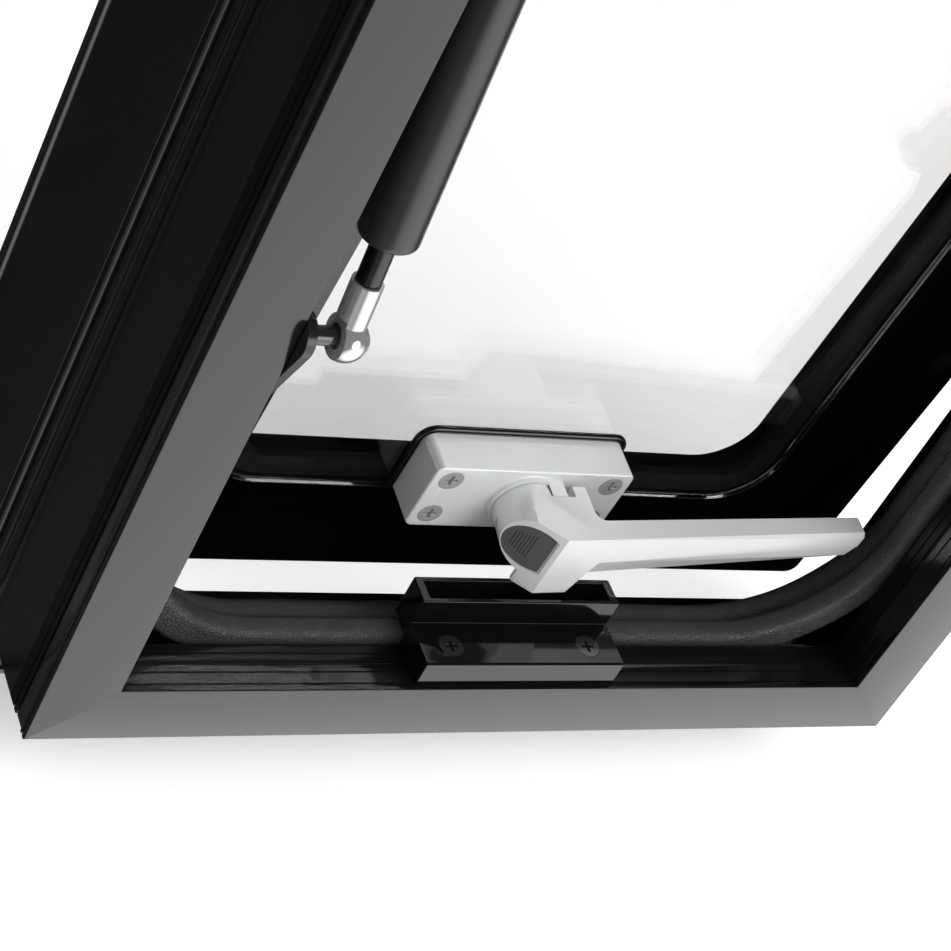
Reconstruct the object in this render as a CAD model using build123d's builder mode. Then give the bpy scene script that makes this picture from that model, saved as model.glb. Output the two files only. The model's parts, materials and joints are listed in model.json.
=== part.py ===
"""Top-hung caravan window with its frame: profiles, seal, sash, latch handle and gas struts.

Millimetres, +Z up, +Y towards the outside of the vehicle. The origin is the
middle of the wall opening, in the plane of the outer flange's inner face.
"""

import os
from math import cos, radians, sin

from build123d import *

# Frame
frame_width = 350.0
frame_height = 500.0
frame_depth = 60.8
liner_reach = 25.5
inner_profile_depth = 11.6
thermal_break_depth = 7.7
profile_wall = 2.0
web_wall = 1.6
face_bevel_width = 12.7
face_bevel_drop = 0.8
face_edge_radius = 0.6
face_wall = 2.5
edge_groove_place = 3.0
strip_groove_place = 2.7
strip_line_place = 4.4
strip_wall = 2.5
liner_step = 1.0
flange_width = 39.5
flange_thickness = 3.0
flange_lip_width = 2.8
flange_lip_height = 1.3
flange_edge_radius = 0.8
flange_rib_radius = 2.2
flange_rib_place = 5.0
web_groove_width = 5.8
web_groove_depth = 0.7
web_groove_margin = 1.5
line_groove_width = 0.7
line_groove_depth = 0.5
joint_groove_depth = 1.4
texture_band_width = 6.2
knurl_band_width = 3.6
band_depth = 0.35
corner_key_leg = 38.0
key_clearance = 0.15

# Seal and the fin that carries it
shelf_reach = 13.6
shelf_depth = 11.5
fin_reach = 27.0
fin_thickness = 1.6
fin_place = 6.5
fin_clearance = 0.15
seal_gap = 2.4
seal_grip_height = 13.6
seal_grip_depth = 9.0
seal_grip_rounding = 2.6
seal_bulb_radius = 6.3
seal_bulb_wall = 1.6
seal_bulb_reach = 19.1
seal_neck_width = 7.0
seal_neck_shift = 1.2
seal_neck_sink = 1.0
seal_corner_radius = 46.0
seal_air_gap = 0.4

# Hinge
hinge_pin_radius = 3.0
hinge_fit = 0.05
hinge_wall = 1.8
hinge_drop = 11.5
hinge_inset = 4.0
hinge_stem = 2.0
hinge_foot_width = 13.0
hinge_end_gap = 6.0
hinge_mouth_angle = 112.0
hinge_plate_height = 34.0
hinge_plate_thickness = 2.0
hinge_plate_gap = 0.65
hinge_mouth_centre = -15.0
hinge_foot_shift = 3.5
open_angle = 3.7

# Sash
outer_pane_thickness = 4.0
outer_pane_side_gap = 5.0
outer_pane_bottom_gap = 2.9
outer_pane_overlap = 4.0
outer_pane_corner = 5.0
spacer_depth = 3.5
spacer_width = 9.0
spacer_inset = 4.0
inner_pane_thickness = 3.0
inner_pane_side_margin = 58.5
inner_pane_bottom_margin = 51.6
inner_pane_top_margin = 47.6
inner_pane_corner = 23.0
pane_edge = 1.0

# Latch box on the sash
handle_offset = -1.0
handle_height = 51.8
box_length = 80.0
box_height = 31.5
box_depth = 15.5
box_wall = 2.6
box_corner = 3.0
box_edge = 0.8
box_screw_pitch_x = 65.0
box_screw_pitch_y = 18.0
screw_boss_radius = 6.2
box_screw_bite = 3.0
gasket_thickness = 1.0
gasket_lip = 2.6
packer_margin = 1.5
packer_clearance = 0.2
lug_start = 5.2
lug_width = 6.1
lug_height = 7.0
lug_top = 11.2
lug_gap = 0.4

# Latch lever
hub_radius = 11.3
hub_slope = 0.08
hub_gap = 0.3
hub_boss_margin = 1.6
hub_boss_height = 1.4
hub_boss_rounding = 0.9
block_back = 7.0
block_reach = 19.6
block_drop = 9.0
lever_top = 11.5
ridge_place = 4.1
ridge_height = 26.6
front_slope = 0.8
front_fall = 0.0475
ear_width = 5.3
ear_height = 3.3
ear_back = 2.4
arm_root = 12.0
arm_reach = 137.0
arm_thickness = 8.5
arm_chamfer = 1.6
arm_face_root = -2.7
arm_face_tip = 5.2
arm_facet_height = 8.2
arm_facet_fall = 2.2
arm_end_rounding = 1.2
arm_root_rounding = 4.0
tongue_left = -3.0
tongue_left_tip = -2.9
tongue_right = 23.3
tongue_right_tip = 17.8
tongue_shoulder = 1.5
tongue_drop = 18.3
tongue_back = 19.7
tongue_corner = 0.6
spindle_radius = 5.0
spindle_fit = 0.05
spindle_square = 7.0
spindle_square_length = 5.5
spindle_collar_radius = 7.5
spindle_collar = 1.6
button_radius = 9.5
button_shift_x = -2.1
button_shift_y = -0.9
button_edge = 2.3
button_back = 11.7
button_gap = 0.3
button_sink = 0.7
pocket_floor = 7.2
button_bore_radius = 3.4
button_bore_depth = 2.4
rib_count = 7
rib_start = 9.6
rib_pitch = 1.2
rib_width = 0.55
rib_length = 11.5
rib_depth = 0.4
rib_shrink = 0.07
spring_radius = 2.4
spring_wire = 0.35
spring_pitch = 1.3

# Keeper on the frame
keeper_length = 80.0
keeper_start = 2.1
keeper_base_depth = 18.4
keeper_base_height = 11.2
keeper_box_depth = 11.3
keeper_box_height = 22.5
keeper_wall = 1.7
keeper_end_wall = 3.4
keeper_floor = 7.6
keeper_underside = 5.4
keeper_chamfer = 0.7
keeper_corner = 1.0
keeper_rim_chamfer = 0.3
keeper_screw_pitch = 55.6
keeper_screw_place = 8.2
keeper_screw_length = 16.0

# Countersunk cross-head screws
screw_head_radius = 4.65
screw_shank_radius = 2.5
screw_clearance = 0.05
recess_width = 1.1
recess_span = 5.0
recess_depth = 1.8

# Gas struts and their brackets
strut_inset = 41.0
strut_height = 184.8
strut_depth = 2.6
strut_lean = 6.5
strut_length = 216.6
ball_radius = 5.0
ball_fit = 0.05
stud_radius = 3.0
socket_radius = 7.6
socket_mouth = 3.2
socket_length = 20.0
socket_barrel_radius = 5.0
rod_radius = 4.0
rod_thread_radius = 3.0
rod_thread_length = 9.0
rod_fit = 0.05
tube_radius = 9.5
tube_wall = 1.4
tube_start = 35.0
tube_end_margin = 21.0
tube_end_wall = 6.0
tube_rounding = 2.5
piston_length = 8.0
piston_place = 88.0
piston_gap = 0.35
plate_thickness = 3.0
plate_clearance = 0.1
plate_ball_radius = 7.5
plate_tail_radius = 6.0
plate_tail_drop = 36.8
plate_tail_shift = 12.2
plate_screw_radius = 2.0
plate_screw_head = 3.8
plate_screw_length = 7.0
plate_screw_near = 0.42
stud_collar_radius = 4.2
stud_collar = 1.0
sash_foot_width = 13.5
sash_bracket_length = 30.0
sash_bracket_edge = 8.0
sash_plate_thickness = 2.0
ball_mouth_gap = 0.4

# Worked-out places
half_width = frame_width / 2
half_height = frame_height / 2
inner_pane_width = frame_width - 2 * inner_pane_side_margin
face_y = -frame_depth
break_y = face_y + inner_profile_depth
outer_y = break_y + thermal_break_depth
shelf_y = outer_y + shelf_depth
fin_y = outer_y + fin_place
hinge_z = half_height - hinge_drop
pane_front = hinge_pin_radius + hinge_fit + hinge_wall + hinge_plate_gap + hinge_plate_thickness
pane_back = pane_front + outer_pane_thickness
hub_start = hub_boss_height + hub_gap
inner_pane_front = pane_back + spacer_depth
inner_pane_back = inner_pane_front + inner_pane_thickness
box_back = inner_pane_back + gasket_thickness
box_front = box_back + box_depth
pane_bottom = outer_pane_bottom_gap - half_height - hinge_z
handle_v = pane_bottom + handle_height + box_height / 2
bulb_y = -hinge_inset - pane_back - seal_air_gap - seal_bulb_radius
seal_corner_centre = fin_reach + seal_corner_radius
liner_z = liner_reach - half_height
keeper_y = face_y + keeper_start
ball_x = half_width - strut_inset
ball_y = face_y + strut_depth
ball_z = strut_height - half_height
tube_end = strut_length - tube_end_margin
sash_plane = Plane(
    origin=(0, -hinge_inset, hinge_z),
    x_dir=(1, 0, 0),
    z_dir=(0, -cos(radians(open_angle)), -sin(radians(open_angle))),
)
handle_plane = Plane(
    origin=sash_plane.from_local_coords((handle_offset, handle_v, box_front)),
    x_dir=sash_plane.x_dir,
    z_dir=sash_plane.z_dir,
)
arm_section_plane = Plane(
    origin=handle_plane.origin,
    x_dir=handle_plane.y_dir,
    z_dir=handle_plane.x_dir,
)


def wall_plane(y):
    """Return a plane parallel to the wall at the given depth, facing the inside of the vehicle."""
    return Plane.XZ.offset(-y)


def side_plane(side):
    """Return the section plane of one frame rail: X runs inward from the web, Y is the depth."""
    origins = {
        "bottom": (0, 0, -half_height),
        "top": (0, 0, half_height),
        "left": (-half_width, 0, 0),
        "right": (half_width, 0, 0),
    }
    inward = {"bottom": (0, 0, 1), "top": (0, 0, -1), "left": (1, 0, 0), "right": (-1, 0, 0)}
    along = {"bottom": (-1, 0, 0), "top": (1, 0, 0), "left": (0, 0, 1), "right": (0, 0, -1)}
    return Plane(origin=origins[side], x_dir=inward[side], z_dir=along[side])


def rail_length(side):
    """Return the outer length of one frame rail at the web."""
    return frame_width if side in ("bottom", "top") else frame_height


def keeper_screw_planes():
    """Return the planes of the keeper screws' heads, on top of the keeper's base."""
    head_z = liner_z + keeper_base_height
    return [
        Plane(origin=(handle_offset + shift, keeper_y + keeper_screw_place, head_z))
        for shift in (-keeper_screw_pitch / 2, keeper_screw_pitch / 2)
    ]


def bracket_screw_planes(hand):
    """Return the planes of one frame bracket's screw heads, facing the middle of the window."""
    head_x = hand * (half_width - liner_reach - plate_clearance - plate_thickness)
    return [
        Plane(
            origin=(head_x, ball_y + plate_tail_shift * place, ball_z - plate_tail_drop * place),
            x_dir=(0, 1, 0),
            z_dir=(-hand, 0, 0),
        )
        for place in (plate_screw_near, 1.0)
    ]


def mitre(side):
    """Cut both ends of the rail that is being made at 45 degrees."""
    plane = side_plane(side)
    for end in (1, -1):
        corner = plane.origin + plane.z_dir * (end * rail_length(side) / 2)
        kept = Vector(0, 0, 0) - plane.x_dir - plane.z_dir * end
        split(bisect_by=Plane(origin=corner, z_dir=kept), keep=Keep.TOP)


def drill(planes, radius, depth):
    """Drill the rail that is being made below each of the planes."""
    with Locations(*planes):
        Cylinder(radius, depth, align=(Align.CENTER, Align.CENTER, Align.MAX), mode=Mode.SUBTRACT)


def drill_rail(side):
    """Drill the holes of the screws that enter one frame rail from the opening."""
    if side == "bottom":
        drill(keeper_screw_planes(), screw_shank_radius + screw_clearance, keeper_screw_length)
    if side in ("left", "right"):
        hand = -1 if side == "left" else 1
        drill(bracket_screw_planes(hand), plate_screw_radius + screw_clearance, plate_screw_length)


def line_groove(reach, y, align):
    """Cut one fine groove into the section that is being drawn."""
    with Locations((reach, y)):
        Rectangle(line_groove_depth, line_groove_width, align=(align, Align.CENTER), mode=Mode.SUBTRACT)


def inner_profile(side):
    """Make the room-side part of a rail: bevelled face, lined edge and grooved liner wall."""
    with BuildPart() as rail:
        with BuildSketch(side_plane(side)) as section:
            with BuildLine():
                Polyline(
                    (0, break_y),
                    (0, face_y + face_bevel_drop),
                    (face_bevel_width, face_y),
                    (liner_reach, face_y),
                    (liner_reach, break_y),
                    close=True,
                )
            make_face()
            fillet(section.vertices().group_by(Axis.X)[0].sort_by(Axis.Y)[0], face_edge_radius)
            fillet(section.vertices().group_by(Axis.Y)[0].sort_by(Axis.X)[-1], face_edge_radius)
            line_groove(0, face_y + edge_groove_place, Align.MIN)
            line_groove(liner_reach, face_y + edge_groove_place, Align.MAX)
            line_groove(liner_reach, break_y - knurl_band_width, Align.MAX)
            with Locations((0, break_y - line_groove_width)):
                Rectangle(
                    band_depth,
                    texture_band_width,
                    align=(Align.MIN, Align.MAX),
                    mode=Mode.SUBTRACT,
                )
            with Locations((0, break_y)):
                Rectangle(
                    joint_groove_depth,
                    line_groove_width,
                    align=(Align.MIN, Align.MAX),
                    mode=Mode.SUBTRACT,
                )
            with Locations((liner_reach, break_y)):
                Rectangle(
                    band_depth,
                    knurl_band_width - line_groove_width,
                    align=(Align.MAX, Align.MAX),
                    mode=Mode.SUBTRACT,
                )
            with Locations((profile_wall, face_y + face_wall)):
                Rectangle(
                    liner_reach - 2 * profile_wall,
                    inner_profile_depth - face_wall - profile_wall,
                    align=(Align.MIN, Align.MIN),
                    mode=Mode.SUBTRACT,
                )
        extrude(amount=rail_length(side) / 2, both=True)
        mitre(side)
        drill_rail(side)
    return rail.part


def thermal_break(side):
    """Make the insulating strip between the inner and outer parts of a rail."""
    with BuildPart() as strip:
        with BuildSketch(side_plane(side)):
            with Locations((0, break_y)):
                Rectangle(liner_reach, thermal_break_depth, align=(Align.MIN, Align.MIN))
            line_groove(0, break_y + strip_groove_place, Align.MIN)
            line_groove(liner_reach, break_y + line_groove_width, Align.MAX)
            line_groove(liner_reach, break_y + strip_line_place, Align.MAX)
            with Locations((strip_wall, break_y + profile_wall)):
                Rectangle(
                    liner_reach - 2 * strip_wall,
                    thermal_break_depth - 2 * profile_wall,
                    align=(Align.MIN, Align.MIN),
                    mode=Mode.SUBTRACT,
                )
        extrude(amount=rail_length(side) / 2, both=True)
        mitre(side)
        drill_rail(side)
    return strip.part


def outer_profile(side):
    """Make the outer part of a rail: web, key chamber, flange with its rib and lip, seal fin."""
    with BuildPart() as rail:
        with BuildSketch(side_plane(side)) as section:
            with Locations((0, outer_y)):
                Rectangle(web_wall, -outer_y, align=(Align.MIN, Align.MIN))
                Rectangle(liner_reach - liner_step, web_wall, align=(Align.MIN, Align.MIN))
                Rectangle(shelf_reach, shelf_depth, align=(Align.MIN, Align.MIN))
            with Locations((web_wall, outer_y + web_wall)):
                Rectangle(
                    shelf_reach - 2 * web_wall,
                    shelf_depth - 2 * web_wall,
                    align=(Align.MIN, Align.MIN),
                    mode=Mode.SUBTRACT,
                )
            with Locations((web_wall, 0)):
                Rectangle(web_wall + flange_width, flange_thickness, align=(Align.MAX, Align.MIN))
            with Locations((-flange_width, flange_thickness)):
                Rectangle(
                    flange_lip_width,
                    flange_thickness + flange_lip_height,
                    align=(Align.MIN, Align.MAX),
                )
            fillet(section.vertices().group_by(Axis.X)[0], flange_edge_radius)
            with Locations((-flange_rib_place, 0)):
                Circle(flange_rib_radius)
            with Locations((0, -web_groove_margin)):
                Rectangle(
                    web_groove_depth,
                    web_groove_width,
                    align=(Align.MIN, Align.MAX),
                    mode=Mode.SUBTRACT,
                )
        extrude(amount=rail_length(side) / 2 + flange_width, both=True)
        mitre(side)
        with BuildSketch(side_plane(side)):
            with Locations((shelf_reach, fin_y)):
                Rectangle(
                    fin_reach - shelf_reach,
                    fin_thickness,
                    align=(Align.MIN, Align.CENTER),
                )
        extrude(amount=rail_length(side) / 2 - seal_corner_centre, both=True)
    return rail.part


def corner_cleats(reach_start, reach_end, y_start, y_end, leg):
    """Make the four L-shaped keys that hold the mitred corners, all in one group."""
    with BuildPart() as cleats:
        for x_hand in (-1, 1):
            for z_hand in (-1, 1):
                corner_x = x_hand * (half_width - reach_start)
                corner_z = z_hand * (half_height - reach_start)
                inner_x = x_hand * (half_width - reach_end)
                inner_z = z_hand * (half_height - reach_end)
                leg_x = corner_x - x_hand * leg
                leg_z = corner_z - z_hand * leg
                with BuildSketch(wall_plane(y_end)):
                    with BuildLine():
                        Polyline(
                            (corner_x, corner_z),
                            (leg_x, corner_z),
                            (leg_x, inner_z),
                            (inner_x, inner_z),
                            (inner_x, leg_z),
                            (corner_x, leg_z),
                            close=True,
                        )
                    make_face()
                extrude(amount=y_end - y_start)
    return cleats.part


def seal_section():
    """Draw the seal: a grip with a slot for the fin, a short neck and a hollow bulb."""
    grip_start = shelf_reach + seal_gap
    grip_y = fin_y - seal_grip_depth / 2
    with Locations((grip_start, grip_y)):
        RectangleRounded(
            seal_grip_height,
            seal_grip_depth,
            seal_grip_rounding,
            align=(Align.MIN, Align.MIN),
        )
    with Locations((seal_bulb_reach + seal_neck_shift, fin_y + seal_grip_depth / 2 - seal_neck_sink)):
        Rectangle(seal_neck_width, bulb_y - fin_y - seal_grip_depth / 2, align=(Align.CENTER, Align.MIN))
    with Locations((seal_bulb_reach, bulb_y)):
        Circle(seal_bulb_radius)
        Circle(seal_bulb_radius - seal_bulb_wall, mode=Mode.SUBTRACT)
    with Locations((grip_start, fin_y)):
        Rectangle(
            fin_reach + fin_clearance - grip_start,
            fin_thickness + 2 * fin_clearance,
            align=(Align.MIN, Align.CENTER),
            mode=Mode.SUBTRACT,
        )


def seal_run(side):
    """Make one straight run of the rubber seal."""
    with BuildPart() as run:
        with BuildSketch(side_plane(side)):
            seal_section()
        extrude(amount=rail_length(side) / 2 - seal_corner_centre, both=True)
    return run.part


def seal_corners():
    """Make the four quarter turns of the seal, all in one group."""
    with BuildPart() as turns:
        for side in ("bottom", "top", "left", "right"):
            plane = side_plane(side)
            reach = rail_length(side) / 2 - seal_corner_centre
            end = Plane(origin=plane.origin + plane.z_dir * reach, x_dir=plane.x_dir, z_dir=plane.z_dir)
            with BuildSketch(end):
                seal_section()
            revolve(axis=Axis(end.origin + end.x_dir * seal_corner_centre, end.y_dir), revolution_arc=90)
    return turns.part


def add_screw(plane, length, head_radius, shank_radius):
    """Add one countersunk cross-head screw with its head flush with the plane."""
    sink = head_radius - shank_radius
    with Locations(plane):
        Cylinder(shank_radius, length, align=(Align.CENTER, Align.CENTER, Align.MAX))
        Cone(shank_radius, head_radius, sink, align=(Align.CENTER, Align.CENTER, Align.MAX))
        for width, height in ((recess_span, recess_width), (recess_width, recess_span)):
            Box(
                width,
                height,
                recess_depth,
                align=(Align.CENTER, Align.CENTER, Align.MAX),
                mode=Mode.SUBTRACT,
            )


def screw_group(planes, length, head_radius, shank_radius):
    """Make a group of like screws."""
    with BuildPart() as screws:
        for plane in planes:
            add_screw(plane, length, head_radius, shank_radius)
    return screws.part


def keeper():
    """Make the striker: a screwed base and a deep open pocket that the latch tongue drops into."""
    box_y = keeper_y + keeper_base_depth
    with BuildPart() as striker:
        with BuildSketch(Plane.XY.offset(liner_z)):
            with Locations((handle_offset, keeper_y)):
                Rectangle(keeper_length, keeper_base_depth, align=(Align.CENTER, Align.MIN))
        extrude(amount=keeper_base_height)
        top_edges = striker.faces().sort_by(Axis.Z)[-1].edges()
        chamfer(top_edges.sort_by(Axis.Y)[0], keeper_chamfer)
        with BuildSketch(Plane.XY.offset(liner_z + keeper_underside)):
            with Locations((handle_offset, box_y)):
                Rectangle(keeper_length, keeper_box_depth, align=(Align.CENTER, Align.MIN))
        extrude(amount=keeper_box_height - keeper_underside)
        with BuildSketch(Plane.XY.offset(liner_z + keeper_box_height)):
            with Locations((handle_offset, box_y + keeper_wall)):
                Rectangle(
                    keeper_length - 2 * keeper_end_wall,
                    keeper_box_depth - 2 * keeper_wall,
                    align=(Align.CENTER, Align.MIN),
                )
        extrude(amount=keeper_floor - keeper_box_height, mode=Mode.SUBTRACT)
        upright = striker.edges().filter_by(Axis.Z).sort_by(Axis.Y)[-2:]
        fillet(upright, keeper_corner)
        rim = striker.faces().filter_by(Axis.Z).sort_by(Axis.Z)[-1]
        chamfer(rim.edges(), keeper_rim_chamfer)
        with Locations(*keeper_screw_planes()):
            CounterSinkHole(
                screw_shank_radius + screw_clearance,
                screw_head_radius + screw_clearance,
            )
    return striker.part


def hinge_rail():
    """Make the fixed hinge rail: a foot in the frame's recess, a stem and the round bead."""
    floor_z = half_height - web_wall
    with BuildPart() as rail:
        with BuildSketch(Plane.YZ):
            with Locations((-hinge_inset, hinge_z)):
                Circle(hinge_pin_radius)
                Rectangle(hinge_stem, floor_z - hinge_z, align=(Align.CENTER, Align.MIN))
            with Locations((-hinge_inset - hinge_foot_shift, floor_z)):
                Rectangle(hinge_foot_width, web_wall, align=(Align.CENTER, Align.MAX))
        extrude(amount=half_width - hinge_end_gap, both=True)
    return rail.part


def hinge_leaf():
    """Make the sash's hinge rail: a slotted socket round the bead and a plate on the pane."""
    across = Plane(origin=sash_plane.origin, x_dir=sash_plane.y_dir, z_dir=sash_plane.x_dir)
    bore = hinge_pin_radius + hinge_fit
    reach = 3 * bore
    half_mouth = hinge_mouth_angle / 2
    with BuildPart() as leaf:
        with BuildSketch(across):
            Circle(bore + hinge_wall)
            with BuildLine():
                Polyline(
                    (0, 0),
                    (Vector(reach, 0).rotate(Axis.Z, hinge_mouth_centre - half_mouth)),
                    (Vector(2 * reach, 0).rotate(Axis.Z, hinge_mouth_centre)),
                    (Vector(reach, 0).rotate(Axis.Z, hinge_mouth_centre + half_mouth)),
                    close=True,
                )
            make_face(mode=Mode.SUBTRACT)
            with Locations((-bore, bore)):
                Rectangle(2 * bore - hinge_wall, pane_front - bore, align=(Align.MIN, Align.MIN))
            with Locations((outer_pane_overlap, pane_front)):
                Rectangle(
                    hinge_plate_height,
                    hinge_plate_thickness,
                    align=(Align.MAX, Align.MAX),
                )
            Circle(bore, mode=Mode.SUBTRACT)
        extrude(amount=half_width - hinge_end_gap, both=True)
    return leaf.part


def outer_pane():
    """Make the outer pane, which overhangs the seal all round."""
    height = outer_pane_overlap - pane_bottom
    with BuildPart() as pane:
        with BuildSketch(sash_plane.offset(pane_front)):
            with Locations((0, outer_pane_overlap)):
                RectangleRounded(
                    frame_width - 2 * outer_pane_side_gap,
                    height,
                    outer_pane_corner,
                    align=(Align.CENTER, Align.MAX),
                )
        extrude(amount=outer_pane_thickness)
        fillet(pane.faces().sort_by(Axis(sash_plane.origin, sash_plane.z_dir))[-1].edges(), pane_edge)
    return pane.part


def inner_pane_size():
    """Return the inner pane's height and the height of its middle on the sash."""
    bottom = pane_bottom + inner_pane_bottom_margin
    return -inner_pane_top_margin - bottom, (bottom - inner_pane_top_margin) / 2


def box_screw_planes(depth):
    """Return the planes of the latch box screws at the given depth of the sash."""
    return [
        Plane(
            origin=sash_plane.from_local_coords((handle_offset + across, handle_v + up, depth)),
            x_dir=sash_plane.x_dir,
            z_dir=sash_plane.z_dir,
        )
        for across in (-box_screw_pitch_x / 2, box_screw_pitch_x / 2)
        for up in (-box_screw_pitch_y / 2, box_screw_pitch_y / 2)
    ]


def inner_pane():
    """Make the smaller inner pane with its round corners and rounded edge."""
    height, middle = inner_pane_size()
    with BuildPart() as pane:
        with BuildSketch(sash_plane.offset(inner_pane_front)):
            with Locations((0, middle)):
                RectangleRounded(inner_pane_width, height, inner_pane_corner)
        extrude(amount=inner_pane_thickness)
        fillet(pane.faces().sort_by(Axis(sash_plane.origin, sash_plane.z_dir))[-1].edges(), pane_edge)
        drill(box_screw_planes(inner_pane_back), screw_shank_radius + screw_clearance, inner_pane_thickness)
    return pane.part


def spacer_frame():
    """Make the spacer strip that keeps the two panes apart, interrupted at the latch packer."""
    height, middle = inner_pane_size()
    with BuildPart() as spacer:
        with BuildSketch(sash_plane.offset(pane_back)):
            with Locations((0, middle)):
                RectangleRounded(
                    inner_pane_width - 2 * spacer_inset,
                    height - 2 * spacer_inset,
                    inner_pane_corner - spacer_inset,
                )
                RectangleRounded(
                    inner_pane_width - 2 * spacer_inset - 2 * spacer_width,
                    height - 2 * spacer_inset - 2 * spacer_width,
                    inner_pane_corner - spacer_inset - spacer_width,
                    mode=Mode.SUBTRACT,
                )
            with Locations((handle_offset, handle_v)):
                Rectangle(
                    box_length - 2 * packer_margin + 2 * packer_clearance,
                    box_height - 2 * packer_margin + 2 * packer_clearance,
                    mode=Mode.SUBTRACT,
                )
        extrude(amount=spacer_depth)
    return spacer.part


def handle_packer():
    """Make the solid block between the panes that takes the latch screws."""
    with BuildPart() as packer:
        with BuildSketch(sash_plane.offset(pane_back)):
            with Locations((handle_offset, handle_v)):
                Rectangle(box_length - 2 * packer_margin, box_height - 2 * packer_margin)
        extrude(amount=spacer_depth)
        drill(box_screw_planes(inner_pane_front), screw_shank_radius + screw_clearance, box_screw_bite)
    return packer.part


def handle_gasket():
    """Make the thin rubber gasket under the latch box, with a lip at its top and sides."""
    with BuildPart() as gasket:
        with BuildSketch(sash_plane.offset(inner_pane_back)):
            with Locations((handle_offset, handle_v - box_height / 2)):
                RectangleRounded(
                    box_length + 2 * gasket_lip,
                    box_height + gasket_lip,
                    box_corner,
                    align=(Align.CENTER, Align.MIN),
                )
        extrude(amount=gasket_thickness)
        drill(box_screw_planes(box_back), screw_shank_radius + screw_clearance, gasket_thickness)
    return gasket.part


def handle_box():
    """Make the latch box: a hollow cover with screw bosses, a spindle bearing and the stop lug."""
    with BuildPart() as box:
        with BuildSketch(handle_plane.offset(-box_depth)):
            RectangleRounded(box_length, box_height, box_corner)
        extrude(amount=box_depth)
        front = box.faces().sort_by(Axis(handle_plane.origin, handle_plane.z_dir))[-1]
        fillet(front.edges(), box_edge)
        with BuildSketch(handle_plane.offset(-box_depth)):
            Rectangle(box_length - 2 * box_wall, box_height - 2 * box_wall)
            with GridLocations(box_screw_pitch_x, box_screw_pitch_y, 2, 2):
                Circle(screw_boss_radius, mode=Mode.SUBTRACT)
        extrude(amount=box_depth - box_wall, mode=Mode.SUBTRACT)
        with BuildSketch(handle_plane):
            with Locations((lug_start, lug_top)):
                Rectangle(lug_width, lug_height, align=(Align.MIN, Align.MAX))
            Circle(hub_radius + block_back * hub_slope + lug_gap, mode=Mode.SUBTRACT)
        extrude(amount=block_back - lug_gap)
        with BuildSketch(handle_plane):
            Circle(hub_radius + hub_boss_margin)
        extrude(amount=hub_boss_height)
        boss_foot = box.edges().filter_by(GeomType.CIRCLE).filter_by(
            lambda edge: abs(edge.radius - hub_radius - hub_boss_margin) < hub_gap
        )
        fillet(boss_foot.sort_by(Axis(handle_plane.origin, handle_plane.z_dir))[0], hub_boss_rounding)
        with BuildSketch(handle_plane.offset(hub_boss_height)):
            Circle(spindle_radius + spindle_fit)
        extrude(amount=-box_wall - hub_boss_height, mode=Mode.SUBTRACT)
        with Locations(*box_screw_planes(box_front)):
            CounterSinkHole(
                screw_shank_radius + screw_clearance,
                screw_head_radius + screw_clearance,
            )
    return box.part


def lever_front(reach):
    """Return how far the lever's front stands off the box, right of its ridge."""
    return ridge_height - front_fall * (reach - ridge_place)


def front_plane(slope):
    """Return a plane through the ridge that rises with the given slope along the window."""
    ridge = handle_plane.from_local_coords((ridge_place, 0, ridge_height))
    along = handle_plane.x_dir + handle_plane.z_dir * slope
    normal = handle_plane.z_dir - handle_plane.x_dir * slope
    return Plane(origin=ridge, x_dir=along, z_dir=normal)


def arm_outline(reach):
    """Return the corners of the arm's six-sided section at one distance from the hub axis."""
    share = (reach - ridge_place) / (arm_reach - ridge_place)
    facet_top = arm_face_root + share * (arm_face_tip - arm_face_root)
    front = lever_front(reach)
    edge = share * arm_chamfer
    return (
        (lever_top, front - arm_thickness),
        (lever_top, front - edge),
        (lever_top - edge, front),
        (facet_top, front),
        (facet_top - arm_facet_height, front - arm_facet_fall),
        (facet_top - arm_facet_height, front - arm_thickness),
    )


def button_outline(clearance):
    """Draw the button's outline, a round disc cut straight beside the ridge, grown by a clearance."""
    with Locations((button_shift_x, button_shift_y)):
        Circle(button_radius + clearance)
    with Locations((button_edge + clearance, 0)):
        Rectangle(
            2 * button_radius,
            4 * button_radius,
            align=(Align.MIN, Align.CENTER),
            mode=Mode.SUBTRACT,
        )


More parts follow.
